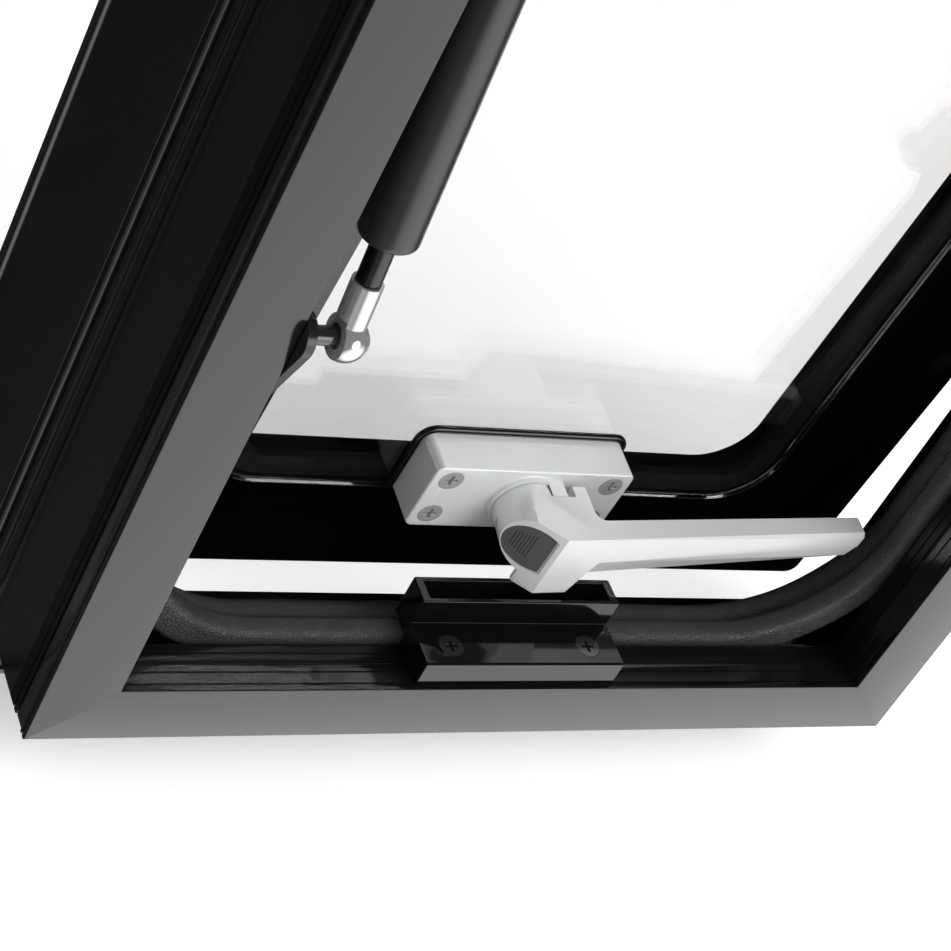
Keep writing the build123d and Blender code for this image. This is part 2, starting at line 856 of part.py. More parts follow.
def handle_lever():
    """Make the one-piece latch lever: hub, stop ear, arm and the tongue under its ridge."""
    top = Plane(origin=handle_plane.from_local_coords((0, lever_top, 0)), z_dir=handle_plane.y_dir)
    with BuildPart() as lever:
        with BuildSketch(handle_plane.offset(hub_start)):
            Circle(hub_radius + hub_start * hub_slope)
        with BuildSketch(handle_plane.offset(ridge_height + hub_gap)):
            Circle(hub_radius + ridge_height * hub_slope)
        loft()
        with BuildSketch(handle_plane.offset(block_back)):
            with Locations((0, lever_top)):
                Rectangle(
                    block_reach,
                    lever_top + block_drop,
                    align=(Align.MIN, Align.MAX),
                )
        extrude(amount=ridge_height - block_back)
        with BuildSketch(handle_plane.offset(ear_back)):
            with Locations((block_reach, lever_top)):
                Rectangle(ear_width, ear_height, align=(Align.MAX, Align.MAX))
        extrude(amount=block_back - ear_back)
        with BuildSketch(handle_plane.offset(tongue_back)) as tongue:
            with BuildLine():
                Polyline(
                    (tongue_left, 0),
                    (tongue_left_tip, -tongue_drop),
                    (tongue_right_tip, -tongue_drop),
                    (tongue_right, -tongue_shoulder),
                    (block_reach, lever_top / 2),
                    close=True,
                )
            make_face()
            fillet(tongue.vertices().group_by(Axis.Y)[0].sort_by(Axis.X)[0], tongue_corner)
        extrude(amount=ridge_height - tongue_back)
        split(bisect_by=front_plane(front_slope), keep=Keep.BOTTOM)
        split(bisect_by=front_plane(-front_fall), keep=Keep.BOTTOM)
        split(bisect_by=top, keep=Keep.BOTTOM)
        for reach in (arm_root, arm_reach):
            with BuildSketch(arm_section_plane.offset(reach)):
                with BuildLine():
                    Polyline(*arm_outline(reach), close=True)
                make_face()
        loft(ruled=True)
        tip = lever.faces().sort_by(Axis(handle_plane.origin, handle_plane.x_dir))[-1]
        fillet(tip.edges(), arm_end_rounding)
        inner_corner = handle_plane.from_local_coords(
            (block_reach, 0, lever_front(block_reach) - arm_thickness)
        )
        fillet(lever.edges().sort_by_distance(inner_corner)[0], arm_root_rounding)
        with BuildSketch(handle_plane.offset(pocket_floor)):
            button_outline(button_gap)
        extrude(amount=ridge_height, mode=Mode.SUBTRACT)
        with BuildSketch(handle_plane.offset(hub_start)):
            Rectangle(spindle_square + 2 * spindle_fit, spindle_square + 2 * spindle_fit)
        extrude(amount=spindle_square_length, mode=Mode.SUBTRACT)
    return lever.part


def handle_spindle():
    """Make the spindle that carries the lever: square end, round journal and inner collar."""
    collar_front = -box_wall - hub_gap
    with BuildPart() as spindle:
        with BuildSketch(handle_plane.offset(collar_front - spindle_collar)):
            Circle(spindle_collar_radius)
        extrude(amount=spindle_collar)
        with BuildSketch(handle_plane.offset(collar_front)):
            Circle(spindle_radius)
        extrude(amount=hub_start - collar_front)
        with BuildSketch(handle_plane.offset(hub_start)):
            Rectangle(spindle_square, spindle_square)
        extrude(amount=spindle_square_length)
    return spindle.part


def handle_button():
    """Make the push button: a thumb face flush with the hub, cut by fine ribs, and a spring bore."""
    face = front_plane(front_slope).offset(-button_sink)
    with BuildPart() as button:
        with BuildSketch(handle_plane.offset(button_back)):
            button_outline(0)
            Circle(hub_radius + button_back * hub_slope, mode=Mode.INTERSECT)
        extrude(amount=ridge_height)
        split(bisect_by=face, keep=Keep.BOTTOM)
        with BuildSketch(handle_plane.offset(button_back)):
            with Locations((button_shift_x, button_shift_y)):
                Circle(button_bore_radius)
        extrude(amount=button_bore_depth, mode=Mode.SUBTRACT)
        with BuildSketch(face):
            for index in range(rib_count):
                with Locations((-rib_start - index * rib_pitch, button_shift_y)):
                    Rectangle(rib_width, rib_length * (1 - rib_shrink * index))
        extrude(amount=-rib_depth, mode=Mode.SUBTRACT)
    return button.part


def button_spring():
    """Make the small coil spring behind the button."""
    seat = Plane(
        origin=handle_plane.from_local_coords(
            (button_shift_x, button_shift_y, pocket_floor + spring_wire)
        ),
        x_dir=handle_plane.x_dir,
        z_dir=handle_plane.z_dir,
    )
    height = button_back - pocket_floor - 2 * spring_wire
    with BuildPart() as spring:
        with BuildLine():
            coil = Helix(spring_pitch, height, spring_radius, seat.origin, seat.z_dir)
        with BuildSketch(Plane(origin=coil @ 0, z_dir=coil % 0)):
            Circle(spring_wire)
        sweep(path=coil)
    return spring.part


def strut_plane(hand):
    """Return the plane at one strut's lower ball, with its Z along the strut."""
    lean = radians(strut_lean)
    return Plane(
        origin=(hand * ball_x, ball_y, ball_z),
        x_dir=(1, 0, 0),
        z_dir=(0, sin(lean), cos(lean)),
    )


def ball_socket(plane, mouth_side, barrel_start, barrel_end):
    """Make a ball socket at the plane's origin, open to one side, with its barrel along Z."""
    with BuildPart() as socket:
        with Locations(plane):
            Sphere(socket_radius)
        with BuildSketch(plane.offset(barrel_start)):
            Circle(socket_barrel_radius)
        extrude(amount=barrel_end - barrel_start)
        with Locations(plane):
            Sphere(ball_radius + ball_fit, mode=Mode.SUBTRACT)
            with Locations((mouth_side * socket_mouth, 0, 0)):
                Box(
                    socket_radius,
                    2 * socket_radius,
                    2 * socket_radius,
                    align=(Align.MIN if mouth_side > 0 else Align.MAX, Align.CENTER, Align.CENTER),
                    mode=Mode.SUBTRACT,
                )
    return socket.part


def strut_rod(hand):
    """Make the strut's rod with its threaded end and the piston inside the tube."""
    plane = strut_plane(hand)
    with BuildPart() as rod:
        with BuildSketch(plane.offset(socket_length - rod_thread_length)):
            Circle(rod_thread_radius)
        extrude(amount=rod_thread_length)
        with BuildSketch(plane.offset(socket_length)):
            Circle(rod_radius)
        extrude(amount=piston_place - socket_length)
        with BuildSketch(plane.offset(piston_place)):
            Circle(tube_radius - tube_wall - piston_gap)
        extrude(amount=piston_length)
    return rod.part


def strut_lower_socket(hand):
    """Make the lower socket, which clips on the frame's ball and takes the rod's thread."""
    socket = ball_socket(strut_plane(hand), hand, socket_radius / 2, socket_length)
    with BuildPart() as finished:
        add(socket)
        with BuildSketch(strut_plane(hand).offset(socket_length)):
            Circle(rod_thread_radius)
        extrude(amount=-rod_thread_length, mode=Mode.SUBTRACT)
    return finished.part


def strut_tube(hand):
    """Make the strut's pressure tube with its guide bore and closed upper end."""
    plane = strut_plane(hand)
    with BuildPart() as tube:
        with BuildSketch(plane.offset(tube_start)):
            Circle(tube_radius)
        extrude(amount=tube_end - tube_start)
        fillet(tube.edges().filter_by(GeomType.CIRCLE), tube_rounding)
        with BuildSketch(plane.offset(tube_start + tube_end_wall)):
            Circle(tube_radius - tube_wall)
        extrude(amount=tube_end - tube_start - 2 * tube_end_wall, mode=Mode.SUBTRACT)
        with BuildSketch(plane.offset(tube_start)):
            Circle(rod_radius + rod_fit)
        extrude(amount=tube_end_wall, mode=Mode.SUBTRACT)
        with BuildSketch(plane.offset(tube_end)):
            Circle(rod_thread_radius)
        extrude(amount=-tube_end_wall, mode=Mode.SUBTRACT)
    return tube.part


def strut_upper_socket(hand):
    """Make the upper socket, screwed into the tube's closed end and open to the sash's ball."""
    lower = strut_plane(hand)
    plane = lower.offset(strut_length)
    socket = ball_socket(plane, -hand, -tube_end_margin, -socket_radius / 2)
    with BuildPart() as finished:
        add(socket)
        with BuildSketch(lower.offset(tube_end)):
            Circle(rod_thread_radius)
        extrude(amount=-tube_end_wall)
    return finished.part


def frame_stud(hand):
    """Make the ball stud that is riveted through the frame bracket."""
    plane = Plane(origin=(hand * ball_x, ball_y, ball_z), x_dir=(0, 1, 0), z_dir=(hand, 0, 0))
    back = half_width - liner_reach - plate_clearance - ball_x
    with BuildPart() as stud:
        with BuildSketch(plane):
            Circle(stud_radius)
        extrude(amount=back)
        with Locations(plane):
            Sphere(ball_radius)
        with BuildSketch(plane.offset(back - plate_thickness)):
            Circle(stud_collar_radius)
        extrude(amount=-stud_collar)
    return stud.part


def frame_bracket(hand):
    """Make the pear-shaped steel plate that is screwed to the frame's liner."""
    face_x = hand * (half_width - liner_reach - plate_clearance)
    plane = Plane(origin=(face_x, ball_y, ball_z), x_dir=(0, 1, 0), z_dir=(-hand, 0, 0))
    tail = plane.to_local_coords(Vector(face_x, ball_y + plate_tail_shift, ball_z - plate_tail_drop))
    with BuildPart() as plate:
        with BuildSketch(plane):
            Circle(plate_ball_radius)
            with Locations((tail.X, tail.Y)):
                Circle(plate_tail_radius)
            make_hull()
        extrude(amount=plate_thickness)
        with BuildSketch(plane):
            Circle(stud_radius)
        extrude(amount=plate_thickness, mode=Mode.SUBTRACT)
        with Locations(*bracket_screw_planes(hand)):
            CounterSinkHole(plate_screw_radius + screw_clearance, plate_screw_head + screw_clearance)
    return plate.part


def sash_ball(hand):
    """Return the place of one upper ball, in the sash's own coordinates."""
    centre = strut_plane(hand).offset(strut_length).origin
    place = sash_plane.to_local_coords(centre)
    inward = socket_mouth + ball_mouth_gap + ball_radius
    return Vector(hand * (ball_x - inward), place.Y, place.Z)


def sash_bracket(hand):
    """Make the steel angle that is bonded to the outer pane and carries the upper ball stud."""
    ball = sash_ball(hand)
    back_x = ball.X - hand * (ball_radius + stud_collar + sash_plate_thickness)
    side = Align.MIN if hand > 0 else Align.MAX
    height = ball.Z - pane_back + sash_bracket_edge
    with BuildPart() as angle:
        with BuildSketch(sash_plane.offset(pane_back)):
            with Locations((back_x, ball.Y)):
                Rectangle(sash_foot_width, sash_bracket_length, align=(side, Align.CENTER))
        extrude(amount=sash_plate_thickness)
        with BuildSketch(sash_plane.offset(pane_back)):
            with Locations((back_x, ball.Y)):
                Rectangle(sash_plate_thickness, sash_bracket_length, align=(side, Align.CENTER))
        extrude(amount=height)
        top = angle.faces().sort_by(Axis(sash_plane.origin, sash_plane.z_dir))[-1]
        fillet(top.edges().filter_by(Axis.X), sash_bracket_edge)
        with Locations(Plane(origin=sash_plane.from_local_coords(ball), z_dir=(hand, 0, 0))):
            Cylinder(stud_radius, 4 * ball_radius, mode=Mode.SUBTRACT)
    return angle.part


def sash_stud(hand):
    """Make the sash's ball stud, riveted through its bracket."""
    ball = sash_ball(hand)
    plane = Plane(origin=sash_plane.from_local_coords(ball), z_dir=(-hand, 0, 0))
    with BuildPart() as stud:
        with Locations(plane):
            Sphere(ball_radius)
        with BuildSketch(plane):
            Circle(stud_radius)
        extrude(amount=ball_radius + stud_collar + sash_plate_thickness)
        with BuildSketch(plane.offset(ball_radius)):
            Circle(stud_collar_radius)
        extrude(amount=stud_collar)
    return stud.part


def write(name, part):
    """Label one finished piece and write its STEP file."""
    part.label = name
    export_step(part, f"parts/{name}.step")


os.makedirs("parts", exist_ok=True)

for side in ("bottom", "top", "left", "right"):
    write(f"inner_profile_{side}", inner_profile(side))
    write(f"thermal_break_{side}", thermal_break(side))
    write(f"outer_profile_{side}", outer_profile(side))
    write(f"seal_run_{side}", seal_run(side))

write(
    "corner_keys",
    corner_cleats(
        web_wall + key_clearance,
        shelf_reach - web_wall - key_clearance,
        outer_y + web_wall + key_clearance,
        shelf_y - web_wall - key_clearance,
        corner_key_leg,
    ),
)
write(
    "inner_corner_keys",
    corner_cleats(
        profile_wall + key_clearance,
        liner_reach - profile_wall - key_clearance,
        face_y + face_wall + key_clearance,
        break_y - profile_wall - key_clearance,
        corner_key_leg,
    ),
)
write("seal_corners", seal_corners())
write("keeper", keeper())
write(
    "keeper_screws",
    screw_group(keeper_screw_planes(), keeper_screw_length, screw_head_radius, screw_shank_radius),
)
write("hinge_rail", hinge_rail())
write("hinge_leaf", hinge_leaf())
write("outer_pane", outer_pane())
write("spacer_frame", spacer_frame())
write("inner_pane", inner_pane())
write("handle_packer", handle_packer())
write("handle_gasket", handle_gasket())
write("handle_box", handle_box())
box_screw_length = box_front - inner_pane_front + box_screw_bite
write(
    "handle_box_screws",
    screw_group(box_screw_planes(box_front), box_screw_length, screw_head_radius, screw_shank_radius),
)
write("handle_lever", handle_lever())
write("handle_spindle", handle_spindle())
write("handle_button", handle_button())
write("button_spring", button_spring())

for hand, name in ((-1, "left"), (1, "right")):
    write(f"frame_bracket_{name}", frame_bracket(hand))
    write(f"frame_stud_{name}", frame_stud(hand))
    write(
        f"bracket_screws_{name}",
        screw_group(
            bracket_screw_planes(hand), plate_screw_length, plate_screw_head, plate_screw_radius
        ),
    )
    write(f"strut_rod_{name}", strut_rod(hand))
    write(f"strut_lower_socket_{name}", strut_lower_socket(hand))
    write(f"strut_tube_{name}", strut_tube(hand))
    write(f"strut_upper_socket_{name}", strut_upper_socket(hand))
    write(f"sash_bracket_{name}", sash_bracket(hand))
    write(f"sash_stud_{name}", sash_stud(hand))
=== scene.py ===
"""Looks of a top-hung caravan window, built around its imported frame.

Every place is in metres in the frame's own axes: X to the right seen from the
room side, Y towards the outside, Z up. Sizes of the pieces are in millimetres
where a name ends in _mm.
"""

import json
import logging
from dataclasses import dataclass
from enum import Enum
from math import cos, pi, radians, sin
from typing import Any

import bmesh
import bpy
import numpy as np
from mathutils import Matrix, Vector

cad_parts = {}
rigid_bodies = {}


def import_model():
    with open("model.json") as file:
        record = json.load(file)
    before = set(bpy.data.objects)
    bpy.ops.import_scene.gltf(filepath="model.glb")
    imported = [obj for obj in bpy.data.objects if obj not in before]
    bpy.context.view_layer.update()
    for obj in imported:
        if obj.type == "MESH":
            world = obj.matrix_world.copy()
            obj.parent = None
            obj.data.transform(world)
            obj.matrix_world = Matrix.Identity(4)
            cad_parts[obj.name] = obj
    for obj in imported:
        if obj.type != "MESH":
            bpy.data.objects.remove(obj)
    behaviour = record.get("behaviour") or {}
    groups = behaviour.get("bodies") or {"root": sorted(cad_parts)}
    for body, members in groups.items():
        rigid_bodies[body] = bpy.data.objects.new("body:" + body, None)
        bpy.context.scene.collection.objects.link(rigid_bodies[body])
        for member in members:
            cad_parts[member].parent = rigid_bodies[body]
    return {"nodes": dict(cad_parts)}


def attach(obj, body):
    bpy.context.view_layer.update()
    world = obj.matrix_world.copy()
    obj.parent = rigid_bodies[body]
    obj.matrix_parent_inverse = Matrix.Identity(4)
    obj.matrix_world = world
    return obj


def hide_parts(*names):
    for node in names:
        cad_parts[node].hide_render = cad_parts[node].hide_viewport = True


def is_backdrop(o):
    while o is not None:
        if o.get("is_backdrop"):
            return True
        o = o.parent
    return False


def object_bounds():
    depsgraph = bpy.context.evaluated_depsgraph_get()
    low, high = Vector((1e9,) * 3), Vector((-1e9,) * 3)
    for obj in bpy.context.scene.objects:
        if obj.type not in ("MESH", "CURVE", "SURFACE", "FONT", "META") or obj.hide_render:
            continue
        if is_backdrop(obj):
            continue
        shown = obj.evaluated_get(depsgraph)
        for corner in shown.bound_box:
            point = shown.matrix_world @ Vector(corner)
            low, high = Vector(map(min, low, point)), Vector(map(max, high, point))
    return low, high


LOG = logging.getLogger("caravan_window")
MM = 0.001
# The sash hangs tilted outwards from its hinge: its upward and its roomward direction
SASH_TILT = radians(3.7)
SASH_UP = (0.0, -sin(SASH_TILT), cos(SASH_TILT))
SASH_ROOMWARD = (0.0, -cos(SASH_TILT), -sin(SASH_TILT))
HINGE_MM = (0.0, -4.0, 238.5)
FLOOR_CORNERS = ((-1, -1), (1, -1), (1, 1), (-1, 1))


class Side(Enum):
    """The four rails of the window's frame."""

    BOTTOM = "bottom"
    TOP = "top"
    LEFT = "left"
    RIGHT = "right"


class Hand(Enum):
    """The two gas struts and their brackets."""

    LEFT = "left"
    RIGHT = "right"


def linear(hex_color: str) -> tuple[float, float, float, float]:
    """Turn an sRGB hex colour into linear RGBA.

    Args:
        hex_color: Six hexadecimal digits after a hash sign.

    Returns:
        Linear red, green and blue with an alpha of 1.
    """
    shares = [int(hex_color[start : start + 2], 16) / 255 for start in (1, 3, 5)]
    red, green, blue = (
        share / 12.92 if share <= 0.04045 else ((share + 0.055) / 1.055) ** 2.4 for share in shares
    )
    return red, green, blue, 1.0


def add_node(
    tree: bpy.types.NodeTree,
    kind: str,
    settings: dict[str | int, Any] | None = None,
    links: dict[str | int, bpy.types.NodeSocket] | None = None,
) -> bpy.types.Node:
    """Add one node with its settings and its incoming links.

    Args:
        tree: The node tree that gets the node.
        kind: The node's type name.
        settings: Values by property name, or by input name or number.
        links: Sockets of other nodes by input name or number.

    Returns:
        The new node.
    """
    node = tree.nodes.new(kind)
    for name, value in (settings or {}).items():
        if isinstance(name, str) and hasattr(node, name):
            setattr(node, name, value)
        else:
            node.inputs[name].default_value = value
    for name, socket in (links or {}).items():
        tree.links.new(socket, node.inputs[name])
    return node


def combine(
    tree: bpy.types.NodeTree,
    operation: str,
    first: bpy.types.NodeSocket,
    second: bpy.types.NodeSocket | float,
) -> bpy.types.NodeSocket:
    """Join two values by one step of arithmetic.

    Args:
        tree: The node tree.
        operation: The Math node's operation.
        first: The first value.
        second: The second value, a socket or a number.

    Returns:
        The result's socket.
    """
    if isinstance(second, float):
        node = add_node(tree, "ShaderNodeMath", {"operation": operation, 1: second}, {0: first})
    else:
        node = add_node(tree, "ShaderNodeMath", {"operation": operation}, {0: first, 1: second})
    return node.outputs[0]


@dataclass(frozen=True)
class Finish:
    """A surface finish: one principled shader with colour drift, roughness drift and a fine bump.

    grain_mm is the size of the surface's grain and grain_depth_mm its height.
    drift_mm is the size of slow changes in gloss, as handling and wiping leave them.
    """

    name: str
    color: str
    tint: str
    roughness: float
    roughness_drift: float = 0.04
    metallic: float = 0.0
    ior: float = 1.5
    specular: float = 0.5
    coat: float = 0.0
    coat_roughness: float = 0.1
    transmission: float = 0.0
    grain_mm: float = 0.8
    grain_depth_mm: float = 0.01
    grain_strength: float = 0.3
    drift_mm: float = 25.0

    def shader_settings(self) -> dict[str | int, Any]:
        """Return the values that are the same all over the surface."""
        return {
            "Metallic": self.metallic,
            "IOR": self.ior,
            "Specular IOR Level": self.specular,
            "Coat Weight": self.coat,
            "Coat Roughness": self.coat_roughness,
            "Transmission Weight": self.transmission,
        }

    def grain(
        self, tree: bpy.types.NodeTree, place: bpy.types.NodeSocket
    ) -> bpy.types.NodeSocket:
        """Return the height of the fine grain, as fractal noise of the grain's size."""
        node = add_node(
            tree,
            "ShaderNodeTexNoise",
            {"Scale": 1 / (self.grain_mm * MM), "Detail": 3.0, "Roughness": 0.55},
            {"Vector": place},
        )
        return node.outputs["Fac"]

    def base_color(
        self, tree: bpy.types.NodeTree, drift: bpy.types.NodeSocket, place: bpy.types.NodeSocket
    ) -> bpy.types.NodeSocket:
        """Return the colour, which drifts slowly between the finish's two colours."""
        node = add_node(
            tree,
            "ShaderNodeMix",
            {"data_type": "RGBA", 6: linear(self.color), 7: linear(self.tint)},
            {0: drift},
        )
        return node.outputs[2]

    def dress_shader(
        self,
        tree: bpy.types.NodeTree,
        shader: bpy.types.Node,
        place: bpy.types.NodeSocket,
    ) -> None:
        """Add what only one kind of finish has. The plain finish adds nothing."""

    def build(self) -> bpy.types.Material:
        """Make the material.

        Returns:
            The finished material.
        """
        material = bpy.data.materials.new(self.name)
        material.use_nodes = True
        tree = material.node_tree
        tree.nodes.clear()
        place = add_node(tree, "ShaderNodeTexCoord").outputs["Object"]
        drift = add_node(
            tree,
            "ShaderNodeTexNoise",
            {"Scale": 1 / (self.drift_mm * MM), "Detail": 4.0, "Roughness": 0.6},
            {"Vector": place},
        ).outputs["Fac"]
        roughness = add_node(
            tree,
            "ShaderNodeMapRange",
            {
                "From Min": 0.3,
                "From Max": 0.7,
                "To Min": self.roughness - self.roughness_drift,
                "To Max": self.roughness + self.roughness_drift,
            },
            {"Value": drift},
        ).outputs["Result"]
        bump = add_node(
            tree,
            "ShaderNodeBump",
            {"Strength": self.grain_strength, "Distance": self.grain_depth_mm * MM},
            {"Height": self.grain(tree, place)},
        )
        shader = add_node(
            tree,
            "ShaderNodeBsdfPrincipled",
            self.shader_settings(),
            {
                "Base Color": self.base_color(tree, drift, place),
                "Roughness": roughness,
                "Normal": bump.outputs["Normal"],
            },
        )
        self.dress_shader(tree, shader, place)
        add_node(
            tree, "ShaderNodeOutputMaterial", links={"Surface": shader.outputs["BSDF"]}
        )
        return material


@dataclass(frozen=True)
class BandedCoat(Finish):
    """The frame's coat, with a stippled band rolled into the profile beside the strip."""

    band_start_mm: float = -52.0
    band_end_mm: float = -49.4
    cell_mm: float = 0.6
    coat_share: float = 0.012

    def grain(
        self, tree: bpy.types.NodeTree, place: bpy.types.NodeSocket
    ) -> bpy.types.NodeSocket:
        """Return the coat's faint orange peel, and deep round cells within the band."""
        peel = combine(tree, "MULTIPLY", super().grain(tree, place), self.coat_share)
        cells = add_node(
            tree, "ShaderNodeTexVoronoi", {"Scale": 1 / (self.cell_mm * MM)}, {"Vector": place}
        ).outputs["Distance"]
        depth = add_node(tree, "ShaderNodeSeparateXYZ", links={0: place}).outputs["Y"]
        behind = combine(tree, "GREATER_THAN", depth, self.band_start_mm * MM)
        before = combine(tree, "LESS_THAN", depth, self.band_end_mm * MM)
        band = combine(tree, "MULTIPLY", behind, before)
        return combine(tree, "ADD", peel, combine(tree, "MULTIPLY", cells, band))


@dataclass(frozen=True)
class GrainedRubber(Finish):
    """Rubber with a fine leather grain: small rounded cells with creases between them."""

    cell_mm: float = 1.1

    def grain(
        self, tree: bpy.types.NodeTree, place: bpy.types.NodeSocket
    ) -> bpy.types.NodeSocket:
        """Return the distance to the nearest crease between two cells."""
        node = add_node(
            tree,
            "ShaderNodeTexVoronoi",
            {"feature": "DISTANCE_TO_EDGE", "Scale": 1 / (self.cell_mm * MM)},
            {"Vector": place},
        )
        return combine(tree, "POWER", node.outputs["Distance"], 0.5)


@dataclass(frozen=True)
class BorderedGlass(Finish):
    """Clear safety glass with a black border fired on it, round-cornered inside.

    The clear field is a rounded rectangle on the sash. It reaches further to the
    left than to the right.
    """

    clear_left_mm: float = -122.0
    clear_right_mm: float = 99.7
    clear_bottom_mm: float = -415.9
    clear_top_mm: float = -73.6
    clear_corner_mm: float = 20.0
    border_color: str = "#050506"

    def outside_field(
        self, tree: bpy.types.NodeTree, across: bpy.types.NodeSocket
    ) -> bpy.types.NodeSocket:
        """Return how far a point is outside the clear field on the sash.

        The distance is the length of what is left of the offset from the middle
        once the straight half sizes are taken off, less the corner's radius.

        Args:
            tree: The node tree.
            across: The place on the sash, X across and Y up, in metres.

        Returns:
            The distance in metres, below zero inside.
        """
        corner = self.clear_corner_mm
        middle = (
            (self.clear_left_mm + self.clear_right_mm) / 2 * MM,
            (self.clear_bottom_mm + self.clear_top_mm) / 2 * MM,
            0.0,
        )
        straight = (
            ((self.clear_right_mm - self.clear_left_mm) / 2 - corner) * MM,
            ((self.clear_top_mm - self.clear_bottom_mm) / 2 - corner) * MM,
            0.0,
        )
        place = across
        for operation, settings in (
            ("SUBTRACT", {1: middle}),
            ("ABSOLUTE", {}),
            ("SUBTRACT", {1: straight}),
            ("MAXIMUM", {1: (0.0, 0.0, 0.0)}),
        ):
            step = add_node(
                tree, "ShaderNodeVectorMath", {"operation": operation, **settings}, {0: place}
            )
            place = step.outputs[0]
        length = add_node(tree, "ShaderNodeVectorMath", {"operation": "LENGTH"}, {0: place})
        return combine(tree, "SUBTRACT", length.outputs["Value"], corner * MM)

    def clear_share(
        self, tree: bpy.types.NodeTree, place: bpy.types.NodeSocket
    ) -> bpy.types.NodeSocket:
        """Return 1 where the glass is clear and 0 where the border covers it."""
        hinge = tuple(value * MM for value in HINGE_MM)
        from_hinge = add_node(
            tree, "ShaderNodeVectorMath", {"operation": "SUBTRACT", 1: hinge}, {0: place}
        ).outputs[0]
        rise = add_node(
            tree, "ShaderNodeVectorMath", {"operation": "DOT_PRODUCT", 1: SASH_UP}, {0: from_hinge}
        ).outputs["Value"]
        side = add_node(tree, "ShaderNodeSeparateXYZ", links={0: place}).outputs["X"]
        across = add_node(tree, "ShaderNodeCombineXYZ", links={0: side, 1: rise}).outputs[0]
        return combine(tree, "LESS_THAN", self.outside_field(tree, across), 0.0)

    def base_color(
        self, tree: bpy.types.NodeTree, drift: bpy.types.NodeSocket, place: bpy.types.NodeSocket
    ) -> bpy.types.NodeSocket:
        """Return the border's black, or the glass's own faint tint where it is clear."""
        node = add_node(
            tree,
            "ShaderNodeMix",
            {"data_type": "RGBA", 6: linear(self.border_color), 7: linear(self.color)},
            {0: self.clear_share(tree, place)},
        )
        return node.outputs[2]

    def dress_shader(
        self,
        tree: bpy.types.NodeTree,
        shader: bpy.types.Node,
        place: bpy.types.NodeSocket,
    ) -> None:
        """Let light through where the glass is clear."""
        tree.links.new(self.clear_share(tree, place), shader.inputs["Transmission Weight"])


# Powder coat baked on aluminium: an even satin black that mirrors the studio softly
FRAME_COAT = BandedCoat(
    "satin_black_powder_coat", "#0e0e0f", "#121213", 0.17, 0.02,
    specular=0.6, coat=0.6, coat_roughness=0.12, grain_mm=0.7, grain_depth_mm=0.1,
)
# Extruded glass-filled nylon: half gloss from the die, with a very fine grain
STRIP_PLASTIC = Finish(
    "extruded_nylon_strip", "#0a0a0b", "#0e0e0f", 0.3, 0.03,
    specular=0.3, grain_mm=0.4, grain_depth_mm=0.006,
)
# Cast aluminium as it comes from the mould: pale and slightly rough
CAST_ALUMINIUM = Finish(
    "cast_aluminium", "#b9babd", "#a9aaae", 0.45, 0.06,
    metallic=1.0, grain_mm=0.6, grain_depth_mm=0.03,
)
# EPDM rubber with a leather grain: black, with a soft broken shine
SEAL_RUBBER = GrainedRubber(
    "grained_epdm_rubber", "#343434", "#404040", 0.34, 0.06,
    specular=1.0, grain_depth_mm=0.3, grain_strength=1.0,
)
# Lacquered die casting: a deep gloss black with a slight orange peel
KEEPER_COAT = Finish(
    "gloss_black_lacquer", "#0a0a0b", "#0e0e0f", 0.09, 0.02,
    specular=0.5, coat=0.4, coat_roughness=0.05, grain_mm=1.6, grain_depth_mm=0.008,
)
# Black passivated steel screw: dark, smooth, half gloss
BLACK_SCREW = Finish(
    "black_passivated_steel", "#1c1c1d", "#242425", 0.14, 0.04,
    specular=1.0, coat=0.6, coat_roughness=0.06, grain_mm=0.4, grain_depth_mm=0.004,
)
# Float glass with a black ceramic border fired on it
PANE_GLASS = BorderedGlass(
    "float_glass_with_fired_border", "#f3f3f3", "#f3f3f3", 0.02, 0.0,
    ior=1.5, grain_mm=40.0, grain_depth_mm=0.002, grain_strength=0.1,
)
# Plain float glass: the inner pane, clear to its ground edge
CLEAR_GLASS = Finish(
    "clear_float_glass", "#f3f3f3", "#f2f2f2", 0.02, 0.0,
    ior=1.5, transmission=1.0, grain_mm=40.0, grain_depth_mm=0.002, grain_strength=0.1,
)
# Butyl spacer between the panes: flat black
SPACER_BUTYL = Finish(
    "black_butyl_spacer", "#0d0d0d", "#131313", 0.6, 0.05, grain_mm=0.5, grain_depth_mm=0.03,
)
# Thin moulded rubber under the latch box
GASKET_RUBBER = Finish(
    "moulded_gasket_rubber", "#0c0c0c", "#121212", 0.16, 0.04,
    specular=0.9, grain_mm=0.5, grain_depth_mm=0.01,
)
# Silver metallic lacquer on zinc: pale, satin, with a fine metallic grain
LATCH_PAINT = Finish(
    "silver_satin_lacquer", "#eaebec", "#e2e3e4", 0.3, 0.03,
    metallic=0.24, specular=0.6, grain_mm=0.28, grain_depth_mm=0.008, grain_strength=0.3,
)
# Zinc-plated steel screw heads: bright with turning marks
SCREW_STEEL = Finish(
    "zinc_plated_steel", "#c6c7ca", "#b2b3b7", 0.26, 0.06,
    metallic=0.45, grain_mm=0.3, grain_depth_mm=0.01,
)
# Plain steel of studs, spindle and spring
PLAIN_STEEL = Finish(
    "turned_plain_steel", "#9fa0a3", "#88898c", 0.3, 0.06,
    metallic=1.0, grain_mm=0.3, grain_depth_mm=0.015,
)
# Moulded polyamide push button: dark grey, fine eroded texture
BUTTON_PLASTIC = Finish(
    "moulded_grey_polyamide", "#565658", "#4f4f51", 0.42, 0.04,
    grain_mm=0.25, grain_depth_mm=0.02, grain_strength=0.5,
)
# Black cataphoretic paint on steel brackets
BRACKET_PAINT = Finish(
    "black_bracket_paint", "#121213", "#19191a", 0.25, 0.05,
    specular=0.8, grain_mm=0.9, grain_depth_mm=0.02,
)
